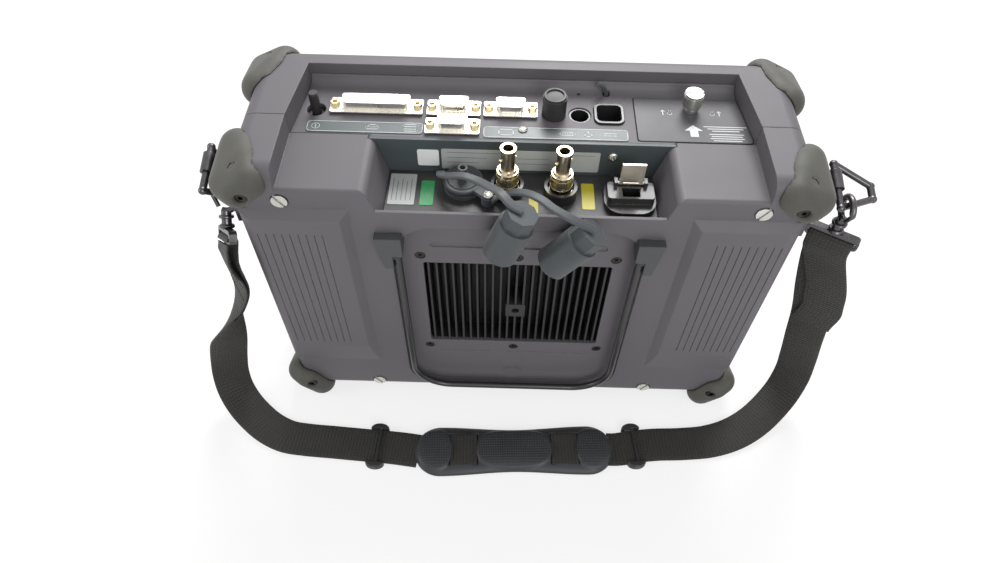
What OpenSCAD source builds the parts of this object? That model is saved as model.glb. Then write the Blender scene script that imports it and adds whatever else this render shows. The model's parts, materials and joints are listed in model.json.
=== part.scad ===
// Portable spectrum analyzer in a rugged two-shell case, standing on its four lower bumpers.
// X runs along the case, -Y is the rear face with the heat sink and the tilt bail, +Y is the
// display side, +Z is up. The origin is on the floor, under the middle of the case.

/* [Case] */
// Width of the case without its bumpers
case_w = 308; // [290:1:330]
// Depth of the case, from rear face to display face
case_d = 104; // [96:1:124]
// Height of the case floor above the ground
case_bottom = 10; // [8:0.5:12]
// Height of the top rim above the ground
case_top = 230; // [214:1:262]
// Wall of both shells
case_wall = 3; // [2:0.1:3.6]
// Radius of every outer edge
edge_r = 9; // [7:0.5:12]
// Place of the joint between the two shells along Y
seam_y = -7.5; // [-9:0.5:-6]
// Depth of the connector recess below the rim
recess_depth = 13; // [10.5:0.5:15.5]
// Width of the connector recess at the seam
recess_w = 259; // [254:1:264]
// Width of the connector recess at its display end
recess_front_w = 249; // [240:1:254]
// Place of the display end of the recess along Y
recess_end_y = 37.5; // [34:0.5:40]

/* [Rear face] */
// Width of the zone inside the tilt bail
bail_zone_w = 146; // [142:1:152]
// Depth of that zone below the rear face
bail_zone_depth = 6; // [5:0.5:7]
// Top of that zone
bail_zone_top = 190; // [184:1:190]
// Width of the heat sink window
window_w = 113; // [94:1:116]
// Lower edge of the heat sink window
window_low = 67; // [60:1:76]
// Upper edge of the heat sink window
window_high = 152.5; // [140:0.5:156]
// How far the ribbed side pods stand proud
pod_rise = 4.5; // [3:0.5:6]
// Distance of the pods from the middle
pod_inner_x = 92.5; // [90:0.5:100]
// Grooves in each pod
groove_count = 9; // [5:1:10]
// Spacing of the grooves
groove_pitch = 4.46; // [3.6:0.02:4.7]

/* [Heat sink] */
// Number of cooling fins
fin_count = 23; // [15:2:27]
// Thickness of a fin
fin_t = 1.3; // [1:0.1:1.7]
// Depth of the fins behind the window
fin_depth = 14; // [11:0.5:16]
// Radius of the tapped hole in the centre boss
boss_hole_r = 2.5; // [2:0.1:3]
// Depth of that hole
boss_hole_depth = 10; // [8:0.5:12]

/* [Tilt bail] */
// Distance between the legs, wire centre to wire centre
bail_w = 138; // [134:1:138.6]
// Radius of the bail wire
bail_r = 2.25; // [1.9:0.05:2.4]
// Height of the hinge above the ground
bail_hinge_z = 168; // [165:1:172]
// Height of the cross wire above the ground
bail_foot_z = 20; // [19:0.5:40]
// Radius of the bail's lower corners
bail_corner_r = 26; // [18:1:30]
// Running clearance of its pins
pin_clearance = 0.08; // [0.05:0.01:0.1]

/* [Port bay] */
// Half width of the lower port bay
bay_half_w = 76; // [74:0.5:78]
// Depth of the bay floor below the shoulders
bay_depth = 23.5; // [20:0.5:26]
// Height of the rear lip above the bay floor
bay_lip = 8.5; // [6:0.5:10]
// Thickness of the panels
panel_t = 2.5; // [2:0.1:3]

/* [Connectors] */
// Depth of a D connector's flange
dsub_depth = 12.55; // [12:0.05:13]
// Flange width of the wide parallel port
parallel_w = 53.04; // [50:0.01:54]
// Flange width of the small ports
serial_w = 30.81; // [29:0.01:32]
// Gap between the panel and the flanges
dsub_standoff = 0.9; // [0.5:0.1:1.5]
// Height of the D hood above its flange
dsub_hood = 5.5; // [4.5:0.1:7]
// Radius of the two round sockets
din_r = 6.3; // [5.8:0.1:6.6]
// Travel of the power button
power_travel = 1.5; // [1:0.1:2]
// Height of the optical adapters above the bay floor
adapter_h = 33; // [30:0.5:36]
// Radius of the adapter barrel
adapter_barrel_r = 4; // [3.6:0.1:4.4]
// Radius of the knurled adapter collar
adapter_collar_r = 6; // [5.8:0.1:6.5]
// Radius of the rubber dust caps
cap_r = 10; // [8.5:0.1:10.5]
// Length of the rubber dust caps
cap_len = 36; // [30:1:38]

/* [Battery] */
// Width of the battery door
door_w = 64; // [58:0.5:64.2]
// Depth of the battery door
door_d = 37; // [35:0.5:37.2]
// Width of the battery pack
pack_w = 52; // [44:1:54]
// Length of the battery pack
pack_len = 150; // [120:1:154]
// Radius of the battery thumbscrew
thumbscrew_r = 5.25; // [4.5:0.05:5.6]

/* [Front] */
// Width of the display window
display_w = 184; // [154:1:186]
// Height of the display window
display_h = 140; // [117:1:144]
// Travel of a front key
key_travel = 1.5; // [1:0.1:1.8]
// Width of a front key
key_w = 15; // [12:0.5:18]
// Height of a front key
key_h = 9; // [7:0.5:11]
// Spacing of the soft keys
key_pitch = 26; // [20:1:31]
// Radius of the setting knob
knob_r = 16; // [12:0.5:20]

/* [Carrying strap] */
// Width of the webbing
webbing_w = 25; // [22:0.5:26]
// Thickness of the doubled webbing
webbing_t = 3.2; // [2.4:0.1:3.6]
// Radius of the ring wire
ring_wire_r = 2; // [1.7:0.05:2.2]
// Length of the ring along its hinge
ring_len = 27; // [25:0.5:30]
// Reach of the ring from its hinge
ring_reach = 22.5; // [20:0.5:24]
// How far the left ring hangs below level, in degrees
left_ring_angle = 100; // [92:1:101]
// How far the right ring hangs below level, in degrees
right_ring_angle = 17; // [10:1:22]
// Length of the shoulder pad
pad_len = 142; // [120:1:150]
// Width of the shoulder pad
pad_w = 38; // [34:1:42]
// Thickness of the shoulder pad
pad_t = 9; // [8:0.5:11]

/* [Hidden] */
$fn = 48;

gap = 0.2;
front_y = case_d / 2;
rear_y = -case_d / 2;
side_x = case_w / 2;
shoulder_z = case_top - recess_depth;
panel_z = shoulder_z - panel_t;
bay_z = shoulder_z - bay_depth;
lip_z = bay_z + bay_lip;
zone_y = rear_y + bail_zone_depth;
shell_gap = 0.4;
tray_wall = 2.6;
ledge = 2;
shell_grey = [0.42, 0.41, 0.42];
rubber_grey = [0.33, 0.33, 0.30];
black = [0.10, 0.10, 0.11];
metal = [0.75, 0.75, 0.74];
brass = [0.78, 0.66, 0.40];

function arc(c, r, a0, a1, n = 6) =
  [for (i = [0:n]) let (a = a0 + (a1 - a0) * i / n) c + r * [cos(a), sin(a)]];

// A rectangle with true round corners, centred on the origin.
module round_rect(w, h, r) {
  square([w - 2 * r, h], center = true);
  square([w, h - 2 * r], center = true);
  for (x = [-1, 1], y = [-1, 1])
    translate([x * (w / 2 - r), y * (h / 2 - r)]) circle(r);
}

// A box with every edge rounded, from y0 to y1 and from z0 to z1, centred on X.
module round_box(w, y0, y1, z0, z1, r) {
  ym = (y0 + y1) / 2;
  zm = (z0 + z1) / 2;
  intersection() {
    translate([0, y1, zm]) rotate([90, 0, 0]) linear_extrude(y1 - y0) round_rect(w, z1 - z0, r);
    translate([0, ym, z0]) linear_extrude(z1 - z0) round_rect(w, y1 - y0, r);
    translate([-w / 2, ym, zm]) rotate([90, 0, 90]) linear_extrude(w)
      round_rect(y1 - y0, z1 - z0, r);
  }
}

// A box given by its low and high corners.
module span(a, b) translate(a) cube(b - a);

// A plate in the XZ plane with round corners, from y0 to y1.
module wall_plate(x, z, w, h, r, y0, y1)
  translate([x, y1, z]) rotate([90, 0, 0]) linear_extrude(y1 - y0) round_rect(w, h, r);

// A plate in the XY plane with round corners, from z0 to z1.
module floor_plate(x, y, w, d, r, z0, z1)
  translate([x, y, z0]) linear_extrude(z1 - z0) round_rect(w, d, r);

// A profile in the YZ plane, extruded along X between x0 and x1.
module side_profile(points, x0, x1)
  translate([x0, 0, 0]) rotate([90, 0, 90]) linear_extrude(x1 - x0) polygon(points);

// A cylinder along Y from y0 to y1.
module y_rod(x, z, r, y0, y1) translate([x, y1, z]) rotate([90, 0, 0]) cylinder(y1 - y0, r, r);

// A cylinder along Z from z0 to z1.
module z_rod(x, y, r, z0, z1) translate([x, y, z0]) cylinder(z1 - z0, r, r);

// A cylinder between two points.
module rod(a, b, r) {
  d = b - a;
  translate(a) rotate([0, acos(d.z / norm(d)), atan2(d.y, d.x)]) cylinder(norm(d), r, r);
}

module mirrored_x() {
  children();
  mirror([1, 0, 0]) children();
}

module case_solid(grow = 0)
  round_box(case_w + 2 * grow, rear_y - grow, front_y + grow, case_bottom - grow,
            case_top + grow, edge_r + grow);

// The inside of both shells, before the trays and pockets are left standing.
module case_hollow()
  round_box(case_w - 2 * case_wall, rear_y + case_wall, front_y - case_wall,
            case_bottom + case_wall, case_top - case_wall, edge_r - case_wall);

// Plan of the connector recess; it narrows towards the display side.
module recess_plan(grow = 0) {
  polygon([
    [-recess_w / 2 - grow, rear_y - 10], [recess_w / 2 + grow, rear_y - 10],
    [recess_w / 2 + grow, seam_y], [recess_front_w / 2 + grow, recess_end_y + grow],
    [-recess_front_w / 2 - grow, recess_end_y + grow], [-recess_w / 2 - grow, seam_y]
  ]);
}

module recess_cut() {
  translate([0, 0, panel_z]) linear_extrude(case_top) recess_plan();
}

/* Front shell: display face, the display end of the connector recess, key openings. */
display_x = 32;
display_z = 120;
key_x = -78;
key_top_z = display_z + 1.5 * key_pitch + 10;
knob_x = -114;
knob_z = 162;
start_z = 96;
knob_shaft_r = 3;
key_hole_gap = 0.3;

module key_hole(x, z)
  wall_plate(x, z, key_w + 2 * key_hole_gap, key_h + 2 * key_hole_gap, 2, front_y - 5, front_y + 1);

module front_shell() color(shell_grey) difference() {
  intersection() {
    case_solid();
    union() {
      difference() {
        span([-case_w, seam_y + shell_gap / 2, 0], [case_w, case_d, 2 * case_top]);
        case_hollow();
      }
      intersection() {
        translate([0, 0, panel_z - ledge]) linear_extrude(case_top) recess_plan(tray_wall);
        span([-case_w, seam_y + shell_gap / 2, 0], [case_w, case_d, 2 * case_top]);
      }
    }
  }
  recess_cut();
  translate([0, 0, panel_z - 2 * ledge]) linear_extrude(2 * ledge + 1) recess_plan(-ledge);
  wall_plate(display_x, display_z, display_w, display_h, 6, front_y - 5, front_y + 1);
  for (i = [0:3]) key_hole(key_x, key_top_z - i * key_pitch);
  key_hole(knob_x, start_z);
  y_rod(knob_x, knob_z, knob_shaft_r + pin_clearance, front_y - 5, front_y + 1);
  for (x = [-1, 1]) y_rod(x * bumper_screw_x, bumper_screw_z, 1.8, front_y - 8, front_y + 1);
  for (x = [-1, 1]) y_rod(x * bumper_screw_x, low_screw_z, 1.8, front_y - 8, front_y + 1);
  span([-recess_w, seam_y - 1, panel_z - 2 * ledge], [recess_w, seam_y + shell_gap / 2, panel_z]);
}

/* Rear shell: shoulders, port bay, bail zone, heat sink window and ribbed pods. */
bay_wall = 2.4;
bay_round = 5;
bay_top_half_w = bay_half_w + 5;
zone_low = 14;
pod_top = 203;
pod_low = 48;
groove_low = 78;
groove_high = 187;
groove_w = 0.5;
groove_depth = 0.6;
pod_edge_x = side_x - 1;
case_screw_top = [128, 209];
case_screw_low = [96.8, 19.5];
case_screw_r = 2;
sink_screw_x = 57.8;
sink_screw_top = 159;
sink_screw_low = 60.6;

// Cross profile of the port bay in the XZ plane, with round shoulder edges.
module bay_profile(grow = 0) {
  right = concat(
    [[bay_half_w + grow, bay_z - panel_t - grow], [bay_half_w + grow, bay_z - grow]],
    [for (p = arc([bay_top_half_w + bay_round + grow, shoulder_z - bay_round], bay_round,
                  180, 90)) p],
    [[bay_top_half_w + bay_round + grow, case_top + 5]]
  );
  left = [for (i = [len(right) - 1:-1:0]) [-right[i].x, right[i].y]];
  polygon(concat(right, left));
}

module bay_cut() intersection() {
  translate([0, seam_y + 1, 0]) rotate([90, 0, 0]) linear_extrude(case_d) bay_profile();
  side_profile([[seam_y + 2, bay_z - panel_t], [rear_y + 7.5, bay_z - panel_t],
                [rear_y + 7.5, bay_z], [rear_y + 2, lip_z], [rear_y - 5, lip_z],
                [rear_y - 5, case_top + 5], [seam_y + 2, case_top + 5]], -case_w, case_w);
}

// What the inner hollow leaves standing in the rear half.
module rear_keep() {
  span([-bail_zone_w / 2 - case_wall, rear_y, case_bottom],
       [bail_zone_w / 2 + case_wall, zone_y + case_wall, bail_zone_top + case_wall]);
  intersection() {
    translate([0, seam_y + 1, 0]) rotate([90, 0, 0]) linear_extrude(case_d) bay_profile(bay_wall);
    span([-case_w, rear_y, bay_z - panel_t - bay_wall], [case_w, seam_y, case_top]);
  }
  span([-side_x, rear_y, panel_z - 0.5], [side_x, seam_y, shoulder_z]);
  mirrored_x() span([recess_w / 2, rear_y, panel_z - 0.5],
                    [recess_w / 2 + tray_wall, seam_y, case_top]);
}

module pods() intersection() {
  round_box(2 * pod_edge_x, rear_y - pod_rise, front_y, case_bottom, case_top, edge_r);
  mirrored_x() translate([0, 0, pod_low]) linear_extrude(pod_top - pod_low)
    polygon([[pod_inner_x, rear_y], [pod_inner_x + 5, rear_y - pod_rise],
             [side_x + 1, rear_y - pod_rise], [side_x + 1, rear_y + 1], [pod_inner_x, rear_y + 1]]);
  side_profile([[rear_y + 1, pod_low - 1], [rear_y, pod_low], [rear_y - pod_rise, pod_low + 25],
                [rear_y - pod_rise, pod_top - 5], [rear_y, pod_top], [rear_y + 1, pod_top + 1]],
               -case_w, case_w);
}

module grooves() {
  groove_x0 = 126.3 - groove_pitch * (groove_count - 1) / 2;
  mirrored_x() for (i = [0:groove_count - 1])
    span([groove_x0 + i * groove_pitch - groove_w / 2, rear_y - pod_rise - 1, groove_low],
         [groove_x0 + i * groove_pitch + groove_w / 2, rear_y - pod_rise + groove_depth,
          groove_high]);
}

module rear_shell() color(shell_grey) difference() {
  union() {
    difference() {
      intersection() {
        case_solid();
        span([-case_w, -case_d, 0], [case_w, seam_y - shell_gap / 2, 2 * case_top]);
      }
      difference() {
        case_hollow();
        rear_keep();
      }
    }
    pods();
  }
  translate([0, 0, shoulder_z]) linear_extrude(case_top) recess_plan();
  difference() {
    span([-recess_w, rear_y - 1, shoulder_z - 2.5], [recess_w, rear_y + 2.5, shoulder_z + 1]);
    span([-recess_w, rear_y + 2.5, shoulder_z - 2.5], [recess_w, rear_y + 3, shoulder_z]);
    translate([-recess_w, rear_y + 2.5, shoulder_z - 2.5]) rotate([0, 90, 0])
      cylinder(2 * recess_w, 2.5, 2.5);
    mirrored_x() span([recess_w / 2, rear_y - 2, 0], [case_w, rear_y + 4, case_top]);
  }
  bay_cut();
  wall_plate(0, (zone_low + bail_zone_top) / 2, bail_zone_w, bail_zone_top - zone_low,
             bail_corner_r, rear_y - 5, zone_y);
  translate([0, zone_y - 11.6, bail_foot_z + 6.5]) sphere(14);
  wall_plate(0, (window_low + window_high) / 2, window_w, window_high - window_low, 1.5,
             zone_y - 1, zone_y + 5);
  wall_plate(0, window_high + 16.5, 103, 4, 1.9, zone_y - 1, zone_y + 0.8);
  wall_plate(0, window_low - 13, 103, 1.2, 0.5, zone_y - 1, zone_y + 0.6);
  grooves();
  for (x = [-sink_screw_x, 0, sink_screw_x], z = [sink_screw_low, sink_screw_top]) {
    y_rod(x, z, 1.7, zone_y - 1, zone_y + 5);
    y_rod(x, z, 3.3, zone_y - 1, zone_y + 1.6);
  }
  mirrored_x() for (p = [case_screw_top, case_screw_low])
    y_rod(p.x, p.y, case_screw_r + gap, rear_y - 1, rear_y + 8);
  mirrored_x() for (z = [bumper_screw_z, low_screw_z]) y_rod(bumper_screw_x, z, 1.8, rear_y - 6,
                                                           rear_y + 8);
  y_rod(wall_screw.x, wall_screw.y, 1.5, seam_y - 3, seam_y + 3);
  mirrored_x() span([bracket_inner_x - gap, rear_y - 1, notch_z + 1 - gap],
                    [bail_zone_w / 2 + gap, zone_y, bracket_top + gap]);
  for (p = [adapter_at[0], adapter_at[1], spare_at]) z_rod(p.x, p.y, 8.2, bay_z - 9, bay_z - 1);
  floor_plate(shutter_at.x, shutter_at.y, 20.4, 14.4, 2, bay_z - 9, bay_z - 1);
  z_rod(tether_screw.x, tether_screw.y, 1.8, bay_z - 6, bay_z - 1);
  mirrored_x() for (p = [case_screw_top, case_screw_low]) y_rod(p.x, p.y, 4.8, rear_y - 1, rear_y + 1.4);
}

// Soft seal that fills the joint line between the shells.
module shell_seal() color(black) difference() {
  translate([0, seam_y + shell_gap / 2 - 0.05, (case_top + case_bottom) / 2])
    rotate([90, 0, 0]) linear_extrude(shell_gap - 0.1)
      round_rect(case_w - 1, case_top - case_bottom - 1, edge_r - 0.5);
  translate([0, seam_y + 2, (case_top + case_bottom) / 2])
    rotate([90, 0, 0]) linear_extrude(4)
      round_rect(case_w - 5, case_top - case_bottom - 5, edge_r - 2.5);
  span([-recess_w / 2 - 0.5, seam_y - 2, panel_z - 5], [recess_w / 2 + 0.5, seam_y + 2, case_top + 5]);
}

/* Corner bumpers: one rubber shape, mirrored to all eight corners of the case. */
bumper_screw_x = side_x - 9;
bumper_screw_z = case_top - 13.2;
bumper_mid_z = (case_top + case_bottom) / 2 - 0.4;
low_screw_z = 2 * bumper_mid_z - bumper_screw_z;
bumper_fit = 0.12;

// Upper rear right corner of the case; the rubber wraps its three faces.
module bumper_blob(reach = 0) {
  x = side_x;
  y = rear_y;
  z = case_top;
  hull() {
    translate([x - 12.5, y + 3, z - 9 + reach]) sphere(10, $fn = 28);
    translate([x - 5, y + 0.5, z - 14]) sphere(9.5, $fn = 28);
    translate([x, y + 5, z - 14]) sphere(10, $fn = 28);
    translate([x, y + 23, z - 13 + reach]) sphere(10, $fn = 28);
    translate([x - 9, y + 14, z - 7.5 + reach]) sphere(9.8, $fn = 28);
    translate([x - 5.5, y + 24, z - 8.2 + reach]) sphere(10, $fn = 28);
    translate([x - 2, y + 27, z - 9 + reach]) sphere(10.5, $fn = 28);
  }
}

module corner_bumper() difference() {
  bumper_blob();
  case_solid(bumper_fit);
  translate([0, 0, -0.6]) pods();
  y_rod(bumper_screw_x, bumper_screw_z, 3.4, rear_y - 15, rear_y - 4);
  y_rod(bumper_screw_x, bumper_screw_z, 1.9, rear_y - 5, rear_y + 1);
}

// The lower corners stand on flats ground into the rubber at floor level.
low_reach = case_bottom - 2.5;

module low_bumper() intersection() {
  translate([0, 0, 2 * bumper_mid_z]) mirror([0, 0, 1]) difference() {
    bumper_blob(low_reach);
    translate([0, 0, 2 * bumper_mid_z]) mirror([0, 0, 1]) case_solid(bumper_fit);
    y_rod(bumper_screw_x, bumper_screw_z, 3.4, rear_y - 15, rear_y - 4);
    y_rod(bumper_screw_x, bumper_screw_z, 1.9, rear_y - 5, rear_y + 1);
  }
  span([0, -case_d, 0], [case_w, case_d, case_top]);
}

module top_rear_bumpers() color(rubber_grey) mirrored_x() corner_bumper();
module top_front_bumpers() color(rubber_grey) mirrored_x() mirror([0, 1, 0]) corner_bumper();
module bottom_rear_bumpers() color(rubber_grey) mirrored_x() low_bumper();
module bottom_front_bumpers() color(rubber_grey) mirrored_x() mirror([0, 1, 0]) low_bumper();

module bumper_screws() color(metal)
  mirrored_x() for (m = [0, 1], z = [bumper_screw_z, low_screw_z]) mirror([0, m, 0]) difference() {
    union() {
      y_rod(bumper_screw_x, z, 3.2, rear_y - 6.2, rear_y - 4);
      y_rod(bumper_screw_x, z, 1.6, rear_y - 4, rear_y + 7);
    }
    y_rod(bumper_screw_x, z, 1.4, rear_y - 7, rear_y - 5, $fn = 6);
  }

module case_screws() color(metal) mirrored_x() for (p = [case_screw_top, case_screw_low])
  difference() {
    union() {
      y_rod(p.x, p.y, 4.4, rear_y - 0.8, rear_y + 1.4);
      y_rod(p.x, p.y, case_screw_r, rear_y + 1, rear_y + 7);
    }
    translate([p.x, 0, p.y]) rotate([0, 33, 0])
      span([-0.7, rear_y - 3, -6], [0.7, rear_y + 0.3, 6]);
  }

/* Panels of the connector recess and the port bay. */
parallel_x = -83.6;
serial_x = -39.4;
video_x = -6.9;
upper_row_y = 15;
lower_row_y = -0.5;
keyboard_x = 17.8;
mouse_x = 32.8;
round_row_y = 13.6;
inlet_x = 49.5;
inlet_y = 14.5;
inlet_w = 17;
power_x = -118;
power_y = 12.5;
power_hole_r = 5.5;
door_x = 96.6;
door_y = 11.5;
door_t = 1.8;
door_seat = 0.4;
wall_y = seam_y - 3.3;
wall_t = 2;
top_screw = [0.2, -0.6];
wall_screw = [51.4, 208.2];
tether_screw = [-18.3, -35.2];
stub_at = [49, 32.6];
pack_d = 31;

// One D-shaped outline; the long side faces the display.
module d_outline(w, d, r = 2) {
  polygon(concat(
    arc([w / 2 - r, d / 2 - r], r, 0, 90),
    arc([-w / 2 + r, d / 2 - r], r, 90, 180),
    arc([-w / 2 + 1.4 + r, -d / 2 + r], r, 180, 270),
    arc([w / 2 - 1.4 - r, -d / 2 + r], r, 270, 360)
  ));
}

module dsub_body_cut(x, y, w)
  span([x - w / 2, y - 5.2, panel_z - 5], [x + w / 2, y + 5.2, shoulder_z + 5]);

module top_panel() color(shell_grey) difference() {
  union() {
    intersection() {
      translate([0, 0, panel_z]) linear_extrude(panel_t) recess_plan(-gap);
      span([-case_w, seam_y + shell_gap / 2, 0], [case_w, case_d, case_top]);
    }
    intersection() {
      translate([0, seam_y + 1, 0]) rotate([90, 0, 0]) linear_extrude(seam_y + 1 - wall_y - wall_t)
        bay_profile(-gap);
      span([-case_w, wall_y, panel_z], [case_w, front_y, shoulder_z]);
    }
    difference() {
      intersection() {
        translate([0, 0, shoulder_z - 0.5]) linear_extrude(8) recess_plan(-gap);
        span([-case_w, recess_end_y - 8, 0], [case_w, case_d, case_top]);
      }
      translate([-case_w, recess_end_y - 8, shoulder_z + 8]) rotate([0, 90, 0])
        cylinder(2 * case_w, 8, 8);
    }
  }
  dsub_body_cut(parallel_x, upper_row_y, 41);
  for (y = [upper_row_y, lower_row_y]) dsub_body_cut(serial_x, y, 19);
  dsub_body_cut(video_x, upper_row_y, 19);
  z_rod(power_x, power_y, power_hole_r, panel_z - 1, shoulder_z + 1);
  for (x = [keyboard_x, mouse_x]) z_rod(x, round_row_y, din_r + gap, panel_z - 1, shoulder_z + 1);
  floor_plate(inlet_x, inlet_y, inlet_w + 0.4, inlet_w + 0.4, 4, panel_z - 1, shoulder_z + 1);
  floor_plate(door_x, door_y, door_w + 0.8, door_d + 0.8, 1.5, shoulder_z - door_t + door_seat - 0.1,
              shoulder_z + 9);
  span([door_x - pack_w / 2 - 1, door_y - pack_d / 2 - 1, panel_z - 1],
       [door_x + pack_w / 2 + 1, door_y + pack_d / 2 + 1, shoulder_z + 1]);
  z_rod(mouse_x, 32, 1, panel_z - 1, shoulder_z + 9);
  z_rod(stub_at.x, stub_at.y, 2.2, panel_z - 1, shoulder_z + 9);
  z_rod(top_screw.x, top_screw.y, 1.5, panel_z - 1, shoulder_z + 1);
}

module wall_panel() color([0.27, 0.32, 0.32]) difference() {
  union() {
    intersection() {
      translate([0, wall_y + wall_t, 0]) rotate([90, 0, 0]) linear_extrude(wall_t)
        bay_profile(-gap);
      span([-case_w, wall_y, bay_z], [case_w, front_y, shoulder_z]);
    }
    span([-bay_half_w + 4, wall_y, bay_z - panel_t], [bay_half_w - 4, wall_y + wall_t, bay_z]);
  }
  y_rod(wall_screw.x, wall_screw.y, 1.5, wall_y - 1, wall_y + 5);
}

// Ports of the bay, from left to right.
spare_at = [-32.7, -22.6];
adapter_at = [[-7.8, -25.6], [22.2, -26.8]];
shutter_at = [60.9, -29.8];
cup_r = 9.4;

module port_panel() color(black) difference() {
  span([-bay_half_w + gap, rear_y + 7.5 + gap, bay_z - panel_t],
       [bay_half_w - gap, wall_y - gap, bay_z]);
  for (p = concat(adapter_at, [spare_at])) z_rod(p.x, p.y, 8, bay_z - 5, bay_z + 1);
  floor_plate(shutter_at.x, shutter_at.y, 20, 14, 2, bay_z - 5, bay_z + 1);
  z_rod(tether_screw.x, tether_screw.y, 1.5, bay_z - 5, bay_z + 1);
}

module pan_head(r, h, shank = 4) {
  difference() {
    intersection() {
      cylinder(h, r, r);
      translate([0, 0, h - 1.6 * r]) sphere(1.6 * r);
    }
    for (a = [0, 90]) rotate([0, 0, a]) translate([-r * 0.6, -0.35, h * 0.45]) cube([r * 1.2, 0.7, h]);
  }
  translate([0, 0, -shank]) cylinder(shank, 1.3, 1.3);
}

module panel_screws() color(metal) {
  translate([top_screw.x, top_screw.y, shoulder_z + 0.4]) pan_head(2.6, 1.6);
  translate([wall_screw.x, wall_y, wall_screw.y]) rotate([90, 0, 0]) pan_head(2.8, 1.6);
  translate([tether_screw.x, tether_screw.y, bay_z + 6.4]) pan_head(3, 2.2, 9);
}

/* Heat sink: a finned casting behind the window, with a tapped boss in the middle. */
sink_w = 132;
sink_low = 56;
sink_high = 164;
sink_y = zone_y + case_wall;
sink_base_y = zone_y + 2 + fin_depth;
sink_base_t = 4;
boss_z = 104;

module heat_sink() color([0.17, 0.17, 0.18]) difference() {
  union() {
    span([-sink_w / 2, sink_base_y, sink_low], [sink_w / 2, sink_base_y + sink_base_t, sink_high]);
    difference() {
      span([-sink_w / 2, sink_y, sink_low], [sink_w / 2, sink_base_y + 1, sink_high]);
      span([-window_w / 2 - 0.6, sink_y - 1, window_low - 0.6],
           [window_w / 2 + 0.6, sink_base_y + 2, window_high + 0.6]);
    }
    for (i = [0:fin_count - 1]) let (x = (i - (fin_count - 1) / 2) * window_w / (fin_count + 0.2))
      span([x - fin_t / 2, zone_y + 0.6, window_low + 1],
           [x + fin_t / 2, sink_base_y + 1, window_high - 1]);
    span([-6.3, zone_y + 0.3, boss_z - 6.5], [6.3, sink_base_y + 1, boss_z + 6.5]);
  }
  y_rod(0, boss_z, boss_hole_r, zone_y - 1, zone_y + 0.3 + boss_hole_depth);
  for (x = [-sink_screw_x, 0, sink_screw_x], z = [sink_screw_low, sink_screw_top])
    y_rod(x, z, 1.4, sink_y - 1, sink_y + 8);
}

module heat_sink_screws() color(black)
  for (x = [-sink_screw_x, 0, sink_screw_x], z = [sink_screw_low, sink_screw_top]) difference() {
    union() {
      y_rod(x, z, 3, zone_y + 0.5, zone_y + 1.6);
      y_rod(x, z, 1.3, zone_y + 1.6, sink_y + 7);
    }
    y_rod(x, z, 1.2, zone_y, zone_y + 1.2, $fn = 6);
  }

/* Tilt bail: one bent wire in two brackets, folded flat into the rear face. */
bail_y = rear_y - 2.4;
bracket_inner_x = bail_w / 2 - bail_r - 1;
bracket_w = 15;
bracket_h = 25.5;
bracket_rise = 5.3;
bracket_top = 185.5;
notch_x = bail_w / 2 + bail_r + 0.4;
notch_z = bail_hinge_z + bail_r + 0.6;
pin_r = bail_r - 0.15;
pin_end_x = notch_x + 4;

module bail_brackets() color([0.27, 0.27, 0.27]) mirrored_x() difference() {
  union() {
    translate([0, rear_y, 0]) rotate([90, 0, 0]) linear_extrude(bracket_rise)
      polygon([[bracket_inner_x, bracket_top], [bracket_inner_x, notch_z], [notch_x, notch_z],
               [notch_x, bracket_top - bracket_h], [bracket_inner_x + bracket_w - 4,
               bracket_top - bracket_h], [bracket_inner_x + bracket_w, bracket_top]]);
    span([bracket_inner_x, rear_y - 1, notch_z + 1], [bail_zone_w / 2, zone_y, bracket_top]);
  }
  translate([notch_x - 1, bail_y, bail_hinge_z]) rotate([0, 90, 0])
    cylinder(pin_end_x - notch_x + 1.3, pin_r + pin_clearance, pin_r + pin_clearance);
}

module bail_bend(x, z, a) translate([x, bail_y, z]) rotate([90, 0, 0]) rotate([0, 0, a])
  rotate_extrude(angle = 90) translate([bail_corner_r, 0]) circle(bail_r);

module tilt_bail() color(black) {
  y = bail_y;
  leg = bail_w / 2;
  mirrored_x() {
    rod([leg, y, bail_foot_z + bail_corner_r], [leg, y, bail_hinge_z], bail_r);
    translate([leg, y, bail_hinge_z]) sphere(bail_r + 0.1);
    rod([leg, y, bail_hinge_z], [pin_end_x, y, bail_hinge_z], pin_r);
  }
  bail_bend(-leg + bail_corner_r, bail_foot_z + bail_corner_r, 180);
  bail_bend(leg - bail_corner_r, bail_foot_z + bail_corner_r, 270);
  rod([-leg + bail_corner_r, y, bail_foot_z], [leg - bail_corner_r, y, bail_foot_z], bail_r);
}

/* Battery: pack, lift-off door and its captive thumbscrew. */
thumb_at = [96.9, 20.3];
thumb_h = 12;
door_top = shoulder_z + door_seat;
thumb_shaft_r = 2;

module battery_door() color(shell_grey) difference() {
  intersection() {
    floor_plate(door_x, door_y, door_w, door_d, 1.5, door_top - door_t, door_top);
    translate([0, 0, shoulder_z - 5]) linear_extrude(10) recess_plan(-0.5);
  }
  z_rod(thumb_at.x, thumb_at.y, thumb_shaft_r + pin_clearance, shoulder_z - 5, shoulder_z + 5);
}

module battery_screw() color(metal) translate([thumb_at.x, thumb_at.y, door_top + 0.2])
  difference() {
    union() {
      translate([0, 0, -6]) cylinder(6.5, thumb_shaft_r, thumb_shaft_r);
      cylinder(2.4, thumbscrew_r * 0.82, thumbscrew_r * 0.82);
      translate([0, 0, 2.4]) cylinder(1, thumbscrew_r * 0.6, thumbscrew_r * 0.6);
      translate([0, 0, 3.4]) cylinder(thumb_h - 3.4, thumbscrew_r, thumbscrew_r);
    }
    translate([-thumbscrew_r - 1, -0.6, thumb_h - 1.6]) cube([2 * thumbscrew_r + 2, 1.2, 3]);
  }

pack_top = door_top - door_t - 0.3;

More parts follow.
